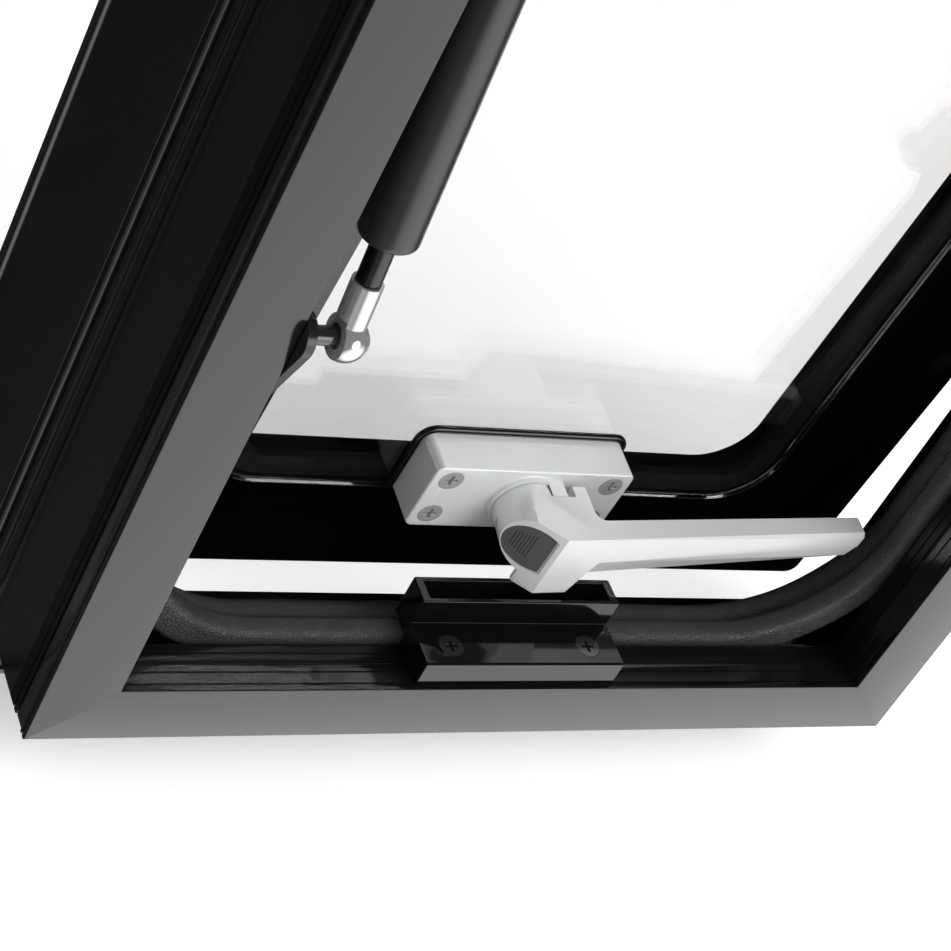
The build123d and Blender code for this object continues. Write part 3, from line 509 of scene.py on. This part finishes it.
# Nitrided piston rod: dark ground steel
ROD_STEEL = Finish(
    "nitrided_rod_steel", "#5a5a5c", "#4c4c4e", 0.24, 0.05,
    metallic=1.0, grain_mm=0.3, grain_depth_mm=0.01,
)
# Bright chrome on the ball sockets
SOCKET_CHROME = Finish(
    "bright_chrome", "#e6e7e9", "#dedfe2", 0.07, 0.02,
    metallic=0.78, grain_mm=6.0, grain_depth_mm=0.01, grain_strength=0.15,
)
# Satin black paint on the strut's pressure tube
TUBE_PAINT = Finish(
    "satin_black_tube_paint", "#1e1e1f", "#242425", 0.3, 0.04,
    specular=0.9, grain_mm=0.5, grain_depth_mm=0.01,
)


def paint(node: bpy.types.Object, material: bpy.types.Material) -> None:
    """Give every face of one object the material."""
    node.data.materials.clear()
    node.data.materials.append(material)


def mesh_object(
    name: str, points: np.ndarray, quads: np.ndarray, smooth: bool = True
) -> bpy.types.Object:
    """Make a mesh object from arrays.

    Args:
        name: The object's name.
        points: Corner places in metres, one row each.
        quads: Corner numbers of each four-sided face.
        smooth: True for soft shading.

    Returns:
        The new object, linked to the scene.
    """
    mesh = bpy.data.meshes.new(name)
    mesh.vertices.add(len(points))
    mesh.vertices.foreach_set("co", points.astype(np.float32).ravel())
    mesh.loops.add(quads.size)
    mesh.loops.foreach_set("vertex_index", quads.astype(np.int32).ravel())
    mesh.polygons.add(len(quads))
    mesh.polygons.foreach_set("loop_start", np.arange(0, quads.size, 4, dtype=np.int32))
    mesh.polygons.foreach_set("loop_total", np.full(len(quads), 4, dtype=np.int32))
    mesh.polygons.foreach_set("use_smooth", np.full(len(quads), smooth))
    mesh.update(calc_edges=True)
    mesh.validate()
    piece = bpy.data.objects.new(name, mesh)
    bpy.context.scene.collection.objects.link(piece)
    return piece


def ring_quads(stations: int, corners: int) -> np.ndarray:
    """Number the faces of a closed section carried round a closed path.

    Args:
        stations: How many sections there are on the path.
        corners: How many points one section has.

    Returns:
        Corner numbers, four a face, with both directions closed on themselves.
    """
    station, corner = np.meshgrid(np.arange(stations), np.arange(corners), indexing="ij")
    following = (station + 1) % stations
    beside = (corner + 1) % corners
    return np.stack(
        (
            station * corners + corner,
            station * corners + beside,
            following * corners + beside,
            following * corners + corner,
        ),
        axis=-1,
    ).reshape(-1, 4)


def arc(
    center: tuple[float, float], radius: float, start_deg: float, end_deg: float, count: int
) -> np.ndarray:
    """Return points on a circle's arc: the middle plus the radius times cosine and sine."""
    angle = np.radians(np.linspace(start_deg, end_deg, count))
    return np.stack(
        (center[0] + radius * np.cos(angle), center[1] + radius * np.sin(angle)), axis=1
    )


def resample(outline: np.ndarray, count: int) -> np.ndarray:
    """Space points evenly on a closed outline, by its running length.

    Args:
        outline: The outline's points.
        count: How many points to return.

    Returns:
        Evenly spaced points on the same outline.
    """
    closed = np.vstack((outline, outline[:1]))
    running = np.concatenate(([0.0], np.cumsum(np.linalg.norm(np.diff(closed, axis=0), axis=1))))
    wanted = np.linspace(0.0, running[-1], count, endpoint=False)
    return np.stack([np.interp(wanted, running, closed[:, axis]) for axis in (0, 1)], axis=1)


@dataclass
class BulbSeal:
    """The rubber seal round the opening: a grip on the fin, a neck and a hollow bulb."""

    half_width_mm: float = 175.0
    half_height_mm: float = 250.0
    grip_start_mm: float = 16.0
    grip_end_mm: float = 29.6
    grip_front_mm: float = -39.5
    grip_back_mm: float = -30.5
    grip_corner_mm: float = 2.6
    slot_end_mm: float = 27.15
    slot_front_mm: float = -35.95
    slot_back_mm: float = -34.05
    bulb_reach_mm: float = 18.3
    bulb_y_mm: float = -22.2
    bulb_radius_mm: float = 5.7
    neck_start_mm: float = 16.8
    neck_end_mm: float = 22.8
    corner_center_mm: float = 80.0
    clip_pitch_mm: float = 4.8
    clip_height_mm: float = 0.14
    clip_run_share: float = 0.45
    back_margin_mm: float = 0.3
    end_margin_mm: float = 0.4
    front_margin_mm: float = 0.6
    wave_height_mm: float = 0.12
    wave_length_mm: float = 46.0
    wave_rise_mm: float = 8.0
    section_points: int = 108
    corner_points: int = 8
    bulb_points: int = 48
    station_mm: float = 1.5
    corner_stations: int = 40

    def section(self) -> np.ndarray:
        """Return the seal's outline, reach inward and depth, in millimetres.

        The outline is straight lines and arcs: round the grip and into its slot,
        up the neck and round the bulb, then softened by a mean of neighbours.
        """
        corner = self.grip_corner_mm
        left, right = self.grip_start_mm + corner, self.grip_end_mm - corner
        front, back = self.grip_front_mm + corner, self.grip_back_mm - corner
        bulb = (self.bulb_reach_mm, self.bulb_y_mm)
        steps = self.corner_points
        meet_right = np.degrees(
            np.arccos((self.neck_end_mm - self.bulb_reach_mm) / self.bulb_radius_mm)
        )
        meet_left = np.degrees(
            np.arccos((self.neck_start_mm - self.bulb_reach_mm) / self.bulb_radius_mm)
        )
        outline = np.vstack(
            (
                [(self.grip_start_mm, self.slot_front_mm)],
                arc((left, front), corner, 180, 270, steps),
                arc((right, front), corner, 270, 360, steps),
                arc((right, back), corner, 0, 90, steps),
                [(self.neck_end_mm, self.grip_back_mm)],
                arc(
                    bulb, self.bulb_radius_mm, -meet_right, 360 - meet_left, self.bulb_points
                ),
                [(self.neck_start_mm, self.grip_back_mm)],
                arc((left, back), corner, 90, 180, steps),
                [
                    (self.grip_start_mm, self.slot_back_mm),
                    (self.slot_end_mm, self.slot_back_mm),
                    (self.slot_end_mm, self.slot_front_mm),
                ],
            )
        )
        even = resample(outline, self.section_points)
        return (np.roll(even, 1, axis=0) + 2 * even + np.roll(even, -1, axis=0)) / 4

    def path(self) -> tuple[np.ndarray, np.ndarray, np.ndarray]:
        """Return the seal's route round the opening.

        Returns:
            The place of each section's centre of turning, the outward direction
            there, and how much of a corner it is, from 0 on a run to 1 in a turn.
        """
        half_size = np.array((self.half_width_mm, self.half_height_mm))
        half_run = half_size - self.corner_center_mm
        centers, outward, turning = [], [], []
        for quarter, (side_x, side_z) in enumerate(((1, -1), (1, 1), (-1, 1), (-1, -1))):
            corner = half_run * (side_x, side_z)
            angle = np.radians(np.linspace(0, 90, self.corner_stations) + 90 * quarter - 90)
            normal = np.stack((np.cos(angle), np.sin(angle)), axis=1)
            centers.append(np.repeat(corner[None, :], self.corner_stations, axis=0))
            outward.append(normal)
            turning.append(np.sin(np.linspace(0, pi, self.corner_stations)) ** 0.5)
            following = half_run * ((1, 1), (-1, 1), (-1, -1), (1, -1))[quarter]
            steps = int(np.linalg.norm(following - corner) / self.station_mm)
            share = np.arange(1, steps)[:, None] / steps
            centers.append(corner + share * (following - corner))
            outward.append(np.repeat(normal[-1][None, :], steps - 1, axis=0))
            turning.append(np.zeros(steps - 1))
        return np.vstack(centers), np.vstack(outward), np.concatenate(turning)

    def build(self, material: bpy.types.Material) -> bpy.types.Object:
        """Make the seal's surface.

        Each point is the turning centre plus the outward direction times the
        centre's reach less the point's own reach. A cosine of the running length
        lifts the grip over each steel clip inside it, and a long sine lets the
        bulb wander a little, as a fitted seal does.

        Args:
            material: The rubber.

        Returns:
            The seal, riding on the frame and standing for its solid.
        """
        section = self.section()
        centers, outward, turning = self.path()
        ahead = np.roll(section, -1, axis=0) - np.roll(section, 1, axis=0)
        normal = np.stack((ahead[:, 1], -ahead[:, 0]), axis=1)
        normal /= np.linalg.norm(normal, axis=1, keepdims=True)
        middle = centers + outward * (self.corner_center_mm - self.bulb_reach_mm)
        steps = np.linalg.norm(np.diff(middle, axis=0, append=middle[:1]), axis=1)
        running = np.concatenate(([0.0], np.cumsum(steps)[:-1]))
        total = steps.sum()
        clips = round(total / self.clip_pitch_mm)
        waves = round(total / self.wave_length_mm)
        in_turns = self.clip_run_share + (1 - self.clip_run_share) * turning
        clip = np.cos(2 * pi * clips * running / total) * in_turns
        wave = np.sin(2 * pi * waves * running / total)
        past_slot = (section[:, 0] > self.slot_end_mm + self.end_margin_mm) | (
            section[:, 1] < self.slot_front_mm - self.front_margin_mm
        )
        on_grip = past_slot & (section[:, 1] < self.grip_back_mm + self.back_margin_mm)
        on_bulb = np.clip((section[:, 1] - self.grip_back_mm) / self.wave_rise_mm, 0, 1)
        lift = (
            self.clip_height_mm * clip[:, None] * on_grip[None, :]
            + self.wave_height_mm * wave[:, None] * on_bulb[None, :]
            - self.wave_height_mm * on_bulb[None, :]
        )
        reach = section[None, :, 0] + lift * normal[None, :, 0]
        depth = section[None, :, 1] + lift * normal[None, :, 1]
        from_center = (self.corner_center_mm - reach)[:, :, None]
        around = centers[:, None, :] + outward[:, None, :] * from_center
        points = np.stack((around[:, :, 0], depth, around[:, :, 1]), axis=2).reshape(-1, 3)
        piece = mesh_object("seal_ring", points * MM, ring_quads(len(centers), len(section)))
        paint(piece, material)
        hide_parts("seal_corners", *(f"seal_run_{side.value}" for side in Side))
        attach(piece, "frame")
        return piece


@dataclass
class SoftEdges:
    """A copy of a CAD node with its sharp edges rounded, as casting and paint leave them."""

    node: str
    body: str
    slot: str
    width_mm: float = 0.5
    sharp_deg: float = 28.0
    flat_deg: float = 0.5
    segments: int = 3
    merge_mm: float = 0.002

    def reshape(self, mesh: bpy.types.Mesh) -> None:
        """Change the copy's form before its edges are rounded. The plain copy keeps its form."""

    def build(
        self, nodes: dict[str, bpy.types.Object], material: bpy.types.Material
    ) -> bpy.types.Object:
        """Make the copy.

        Its doubles are merged, each flat part becomes one face, and its edges are rounded.

        Args:
            nodes: The CAD nodes by name.
            material: The finish of the copy.

        Returns:
            The piece, riding on its body and standing for its node.
        """
        mesh = nodes[self.node].data.copy()
        shape = bmesh.new()
        shape.from_mesh(mesh)
        bmesh.ops.remove_doubles(shape, verts=shape.verts, dist=self.merge_mm * MM)
        bmesh.ops.dissolve_limit(
            shape, angle_limit=radians(self.flat_deg), verts=shape.verts, edges=shape.edges
        )
        shape.to_mesh(mesh)
        shape.free()
        self.reshape(mesh)
        piece = bpy.data.objects.new(f"{self.node}_finished", mesh)
        bpy.context.scene.collection.objects.link(piece)
        rounding = piece.modifiers.new("edge_rounding", "BEVEL")
        rounding.width = self.width_mm * MM
        rounding.segments = self.segments
        rounding.limit_method = "ANGLE"
        rounding.angle_limit = radians(self.sharp_deg)
        rounding.harden_normals = True
        rounding.use_clamp_overlap = True
        mesh.polygons.foreach_set("use_smooth", np.ones(len(mesh.polygons), dtype=bool))
        mesh.set_sharp_from_angle(angle=radians(self.sharp_deg))
        paint(piece, material)
        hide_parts(self.node)
        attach(piece, self.body)
        return piece


@dataclass
class RoundedBlock(SoftEdges):
    """A copy of the block between the panes, with round corners and drawn in behind the bead."""

    corner_mm: float = 6.0
    corner_segments: int = 8
    inset_mm: float = 1.6
    corner_deg: float = 60.0
    least_cosine: float = 0.99

    def reshape(self, mesh: bpy.types.Mesh) -> None:
        """Draw the block's outline in by the inset and round its four corners.

        A point's offset from the block's middle is cut, across and up the sash,
        in the proportion that takes the inset off each half size. The corners'
        edges run through the block, square to the glass.

        Args:
            mesh: The block's merged mesh.
        """
        places = np.empty(3 * len(mesh.vertices), dtype=np.float32)
        mesh.vertices.foreach_get("co", places)
        points = places.reshape(-1, 3).astype(float)
        middle = (points.min(axis=0) + points.max(axis=0)) / 2
        offset = points - middle
        for axis in ((1.0, 0.0, 0.0), SASH_UP):
            along = offset @ np.array(axis)
            points -= np.outer(along * self.inset_mm * MM / np.abs(along).max(), axis)
        mesh.vertices.foreach_set("co", points.astype(np.float32).ravel())
        shape = bmesh.new()
        shape.from_mesh(mesh)
        through = Vector(SASH_ROOMWARD)
        corners = [
            edge
            for edge in shape.edges
            if edge.calc_face_angle(0.0) > radians(self.corner_deg)
            and abs((edge.verts[1].co - edge.verts[0].co).normalized().dot(through))
            > self.least_cosine
        ]
        bmesh.ops.bevel(
            shape,
            geom=corners,
            offset=self.corner_mm * MM,
            segments=self.corner_segments,
            profile=0.5,
            affect="EDGES",
        )
        shape.to_mesh(mesh)
        shape.free()


@dataclass
class LatchBead:
    """The gasket's bead round the latch box: a low round rib, parted in two by a groove."""

    center_mm: tuple[float, float] = (-1.0, -418.05)
    box_half_mm: tuple[float, float] = (40.0, 15.75)
    turn_mm: float = 5.6
    foot_turn_mm: float = 1.3
    seat_mm: float = 18.02
    half_bead_mm: float = 1.55
    rise_mm: float = 1.75
    fullness: float = 0.6
    foot_rise_mm: float = 0.9
    groove_mm: float = 0.8
    groove_half_mm: float = 0.3
    stations: int = 240
    section_points: int = 40
    turn_points: int = 16
    foot_points: int = 8

    def route(self) -> tuple[np.ndarray, np.ndarray]:
        """Return the bead's middle line on the sash and its outward direction.

        The line runs up the box's left side, over its top and down its right
        side, half a bead outside the box's outline, and back underneath the box.
        """
        reach_x = self.box_half_mm[0] + self.half_bead_mm
        reach_y = self.box_half_mm[1] + self.half_bead_mm
        foot_y = self.half_bead_mm - self.box_half_mm[1]
        turn, foot = self.turn_mm, self.foot_turn_mm
        line = np.vstack(
            (
                arc((turn - reach_x, reach_y - turn), turn, 180, 90, self.turn_points),
                arc((reach_x - turn, reach_y - turn), turn, 90, 0, self.turn_points),
                arc((reach_x - foot, foot_y + foot), foot, 0, -90, self.foot_points),
                arc((foot - reach_x, foot_y + foot), foot, 270, 180, self.foot_points),
            )
        )
        even = resample(line, self.stations)
        ahead = np.roll(even, -1, axis=0) - np.roll(even, 1, axis=0)
        ahead /= np.linalg.norm(ahead, axis=1, keepdims=True)
        return even, np.stack((-ahead[:, 1], ahead[:, 0]), axis=1)

    def build(self, material: bpy.types.Material) -> bpy.types.Object:
        """Make the bead.

        Across the bead its height is a flattened half circle, less a narrow bell
        curve in the middle for the groove, and the underside is flat. Under the
        box it is no higher than the gap there.

        Args:
            material: The gasket's rubber.

        Returns:
            The bead, riding on the sash and standing for the flat gasket.
        """
        middle, outward = self.route()
        turn = np.linspace(0.0, pi, self.section_points)
        offset = self.half_bead_mm * np.cos(turn)
        groove = self.groove_mm * np.exp(-((offset / self.groove_half_mm) ** 2))
        crown = self.rise_mm * np.sin(turn) ** self.fullness - groove
        crown[[0, -1]] = 0.0
        under_box = middle[:, 1] < self.foot_turn_mm - self.box_half_mm[1] + self.half_bead_mm
        height = np.where(under_box[:, None], np.minimum(crown, self.foot_rise_mm), crown)
        across = self.center_mm[0] + middle[:, None, 0] + outward[:, None, 0] * offset
        up = self.center_mm[1] + middle[:, None, 1] + outward[:, None, 1] * offset
        out = self.seat_mm + height
        axes = np.array(((1.0, 0.0, 0.0), SASH_UP, SASH_ROOMWARD))
        points = np.array(HINGE_MM) + np.stack((across, up, out), axis=2) @ axes
        quads = ring_quads(self.stations, self.section_points)
        piece = mesh_object("latch_gasket_bead", points.reshape(-1, 3) * MM, quads)
        shape = bmesh.new()
        shape.from_mesh(piece.data)
        bmesh.ops.recalc_face_normals(shape, faces=shape.faces)
        shape.to_mesh(piece.data)
        shape.free()
        paint(piece, material)
        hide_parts("handle_gasket")
        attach(piece, "sash")
        return piece


@dataclass(frozen=True)
class SoftBox:
    """One white area of the studio that shiny surfaces mirror: a soft-edged cone of directions."""

    toward: tuple[float, float, float]
    inner_deg: float
    outer_deg: float
    strength: float


@dataclass
class Studio:
    """The white studio: world, lamps, floor and camera."""

    boxes: tuple[SoftBox, ...] = (
        SoftBox((0.47, -0.63, -0.62), 22.0, 46.0, 1.35),
        SoftBox((0.35, 0.60, 0.72), 24.0, 50.0, 0.06),
        SoftBox((0.50, -0.86, 0.10), 11.0, 22.0, 2.6),
        SoftBox((-0.38, -0.69, -0.62), 12.0, 24.0, 0.28),
    )
    dim_level: float = 0.035
    open_level: float = 0.8
    lamp_place: tuple[float, float, float] = (0.75, -1.2, 1.25)
    lamp_aim: tuple[float, float, float] = (0.0, 0.0, -0.1)
    lamp_size: tuple[float, float] = (1.4, 0.9)
    lamp_watts: float = 24.0
    floor_half: float = 6.0
    floor_color: str = "#ececec"
    floor_lift: float = 0.4
    image_width: float = 951.0
    focal_px: float = 2677.45
    sensor_mm: float = 36.0
    camera_place: tuple[float, float, float] = (-0.4914, -0.5555, 0.3998)
    camera_right: tuple[float, float, float] = (0.85956976, -0.32216449, 0.39667349)
    camera_down: tuple[float, float, float] = (0.03547471, -0.73674968, -0.67523437)
    camera_ahead: tuple[float, float, float] = (0.50978561, 0.59448293, -0.62185906)

    def world(self) -> None:
        """Make the surroundings: white for sight, and dark with white areas for gloss."""
        world = bpy.data.worlds.new("white_studio")
        bpy.context.scene.world = world
        world.use_nodes = True
        tree = world.node_tree
        tree.nodes.clear()
        toward = add_node(tree, "ShaderNodeTexCoord").outputs["Generated"]
        level: bpy.types.NodeSocket | None = None
        for box in self.boxes:
            unit = tuple(Vector(box.toward).normalized())
            facing = add_node(
                tree, "ShaderNodeVectorMath", {"operation": "DOT_PRODUCT", 1: unit}, {0: toward}
            )
            shine = add_node(
                tree,
                "ShaderNodeMapRange",
                {
                    "interpolation_type": "SMOOTHSTEP",
                    "From Min": cos(radians(box.outer_deg)),
                    "From Max": cos(radians(box.inner_deg)),
                    "To Min": 0.0,
                    "To Max": box.strength,
                },
                {"Value": facing.outputs["Value"]},
            ).outputs["Result"]
            level = shine if level is None else combine(tree, "MAXIMUM", level, shine)
        mirrored = combine(tree, "ADD", level, self.dim_level)
        rays = add_node(tree, "ShaderNodeLightPath")
        seen = combine(
            tree, "MAXIMUM", rays.outputs["Is Camera Ray"], rays.outputs["Is Transmission Ray"]
        )
        plain = add_node(
            tree, "ShaderNodeMix", {"data_type": "FLOAT", 2: self.open_level, 3: 1.0}, {0: seen}
        ).outputs[0]
        strength = add_node(
            tree,
            "ShaderNodeMix",
            {"data_type": "FLOAT"},
            {0: rays.outputs["Is Glossy Ray"], 2: plain, 3: mirrored},
        ).outputs[0]
        surroundings = add_node(
            tree, "ShaderNodeBackground", {"Color": (1, 1, 1, 1)}, {"Strength": strength}
        )
        add_node(
            tree, "ShaderNodeOutputWorld", links={"Surface": surroundings.outputs["Background"]}
        )

    def lamps(self) -> None:
        """Hang one large soft box in front of the window, above and to the right."""
        light = bpy.data.lights.new("front_soft_box", "AREA")
        light.shape = "RECTANGLE"
        light.size, light.size_y = self.lamp_size
        light.energy = self.lamp_watts
        lamp = bpy.data.objects.new("front_soft_box", light)
        bpy.context.scene.collection.objects.link(lamp)
        lamp.location = self.lamp_place
        lamp.rotation_mode = "QUATERNION"
        aim = Vector(self.lamp_aim) - Vector(self.lamp_place)
        lamp.rotation_quaternion = aim.to_track_quat("-Z", "Y")
        lamp.visible_glossy = False

    def floor(self, height: float) -> bpy.types.Object:
        """Lay the pale floor, which keeps the window's shadow.

        Args:
            height: The height of the window's lowest point.

        Returns:
            The floor.
        """
        half = self.floor_half
        corners = np.array(
            [(side_x * half, side_y * half, height) for side_x, side_y in FLOOR_CORNERS]
        )
        floor = mesh_object("studio_floor", corners, np.array(((0, 1, 2, 3),)), smooth=False)
        material = bpy.data.materials.new("white_paper_floor")
        material.use_nodes = True
        tree = material.node_tree
        tree.nodes.clear()
        rays = add_node(tree, "ShaderNodeLightPath")
        seen = combine(
            tree, "MAXIMUM", rays.outputs["Is Camera Ray"], rays.outputs["Is Transmission Ray"]
        )
        lift = combine(tree, "MULTIPLY", seen, self.floor_lift)
        shader = add_node(
            tree,
            "ShaderNodeBsdfPrincipled",
            {
                "Base Color": linear(self.floor_color),
                "Roughness": 0.9,
                "Specular IOR Level": 0.0,
                "Emission Color": (1, 1, 1, 1),
            },
            {"Emission Strength": lift},
        )
        add_node(tree, "ShaderNodeOutputMaterial", links={"Surface": shader.outputs["BSDF"]})
        paint(floor, material)
        floor.visible_glossy = False
        floor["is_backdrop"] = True
        return floor

    def camera(self) -> bpy.types.Object:
        """Set up the camera where the photograph was taken from."""
        data = bpy.data.cameras.new("camera")
        data.sensor_width = self.sensor_mm
        data.lens = self.focal_px / self.image_width * self.sensor_mm
        camera = bpy.data.objects.new("camera", data)
        bpy.context.scene.collection.objects.link(camera)
        turn = Matrix(
            (
                self.camera_right,
                tuple(-value for value in self.camera_down),
                tuple(-value for value in self.camera_ahead),
            )
        ).transposed()
        camera.matrix_world = Matrix.Translation(self.camera_place) @ turn.to_4x4()
        bpy.context.scene.camera = camera
        return camera

    def build(self, lowest: float) -> None:
        """Make the whole studio around a window whose lowest point is given."""
        self.camera()
        self.world()
        self.lamps()
        self.floor(lowest)


@dataclass
class Window:
    """The window: which finish each node gets, and which pieces are made anew."""

    nodes: dict[str, bpy.types.Object]
    rail_edges: tuple[tuple[str, str, float], ...] = (
        ("inner_profile", "frame_coat", 0.14),
        ("thermal_break", "strip_plastic", 0.14),
        ("outer_profile", "frame_coat", 0.16),
    )

    def finishes(self) -> dict[str, Finish]:
        """Return the finish of each CAD node by its name."""
        table: dict[str, Finish] = {
            "corner_keys": CAST_ALUMINIUM,
            "inner_corner_keys": CAST_ALUMINIUM,
            "seal_corners": SEAL_RUBBER,
            "keeper": KEEPER_COAT,
            "keeper_screws": BLACK_SCREW,
            "hinge_rail": FRAME_COAT,
            "hinge_leaf": FRAME_COAT,
            "outer_pane": PANE_GLASS,
            "spacer_frame": SPACER_BUTYL,
            "inner_pane": CLEAR_GLASS,
            "handle_packer": SPACER_BUTYL,
            "handle_gasket": GASKET_RUBBER,
            "handle_box": LATCH_PAINT,
            "handle_box_screws": SCREW_STEEL,
            "handle_lever": LATCH_PAINT,
            "handle_spindle": PLAIN_STEEL,
            "handle_button": BUTTON_PLASTIC,
            "button_spring": PLAIN_STEEL,
        }
        for side in Side:
            table[f"inner_profile_{side.value}"] = FRAME_COAT
            table[f"thermal_break_{side.value}"] = STRIP_PLASTIC
            table[f"outer_profile_{side.value}"] = FRAME_COAT
            table[f"seal_run_{side.value}"] = SEAL_RUBBER
        for hand in Hand:
            table[f"frame_bracket_{hand.value}"] = BRACKET_PAINT
            table[f"frame_stud_{hand.value}"] = BLACK_SCREW
            table[f"bracket_screws_{hand.value}"] = BLACK_SCREW
            table[f"strut_rod_{hand.value}"] = ROD_STEEL
            table[f"strut_lower_socket_{hand.value}"] = SOCKET_CHROME
            table[f"strut_tube_{hand.value}"] = TUBE_PAINT
            table[f"strut_upper_socket_{hand.value}"] = SOCKET_CHROME
            table[f"sash_bracket_{hand.value}"] = BRACKET_PAINT
            table[f"sash_stud_{hand.value}"] = PLAIN_STEEL
        return table

    def softened(self) -> list[SoftEdges]:
        """Return the copies with rounded edges, whose widths fit how each part is made."""
        copies: list[SoftEdges] = [
            SoftEdges("handle_lever", "lever", "latch_paint", 0.55),
            SoftEdges("handle_box", "sash", "latch_paint", 0.35),
            SoftEdges("keeper", "frame", "keeper_coat", 0.35),
            SoftEdges("keeper_screws", "frame", "screw_black", 0.18, segments=2),
            SoftEdges("handle_box_screws", "sash", "screw_steel", 0.18, segments=2),
            SoftEdges("handle_button", "button", "button_plastic", 0.2, segments=2),
            RoundedBlock("handle_packer", "sash", "spacer_plastic", 0.2, segments=2),
        ]
        for side in Side:
            for part, slot, width in self.rail_edges:
                name = f"{part}_{side.value}"
                copies.append(SoftEdges(name, "frame", slot, width, segments=2))
        return copies

    def build(self) -> None:
        """Dress every node and make the pieces that stand for some of them."""
        made: dict[str, bpy.types.Material] = {}
        table = self.finishes()
        for name, finish in table.items():
            if finish.name not in made:
                made[finish.name] = finish.build()
            paint(self.nodes[name], made[finish.name])
            LOG.info("dressed %s in %s", name, finish.name)
        seal = BulbSeal().build(made[SEAL_RUBBER.name])
        LOG.info("made %s", seal.name)
        bead = LatchBead().build(made[GASKET_RUBBER.name])
        LOG.info("made %s", bead.name)
        for copy in self.softened():
            piece = copy.build(self.nodes, made[table[copy.node].name])
            LOG.info("made %s", piece.name)


def main() -> None:
    """Load the frame, build the studio at its lowest point, and build the window."""
    logging.basicConfig(level=logging.INFO)
    bpy.ops.object.select_all(action="SELECT")
    bpy.ops.object.delete()
    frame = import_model()
    solid_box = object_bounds()
    Studio().build(solid_box[0].z)
    Window(frame["nodes"]).build()
    bpy.context.scene.view_settings.view_transform = "Standard"


if __name__ == "__main__":
    main()
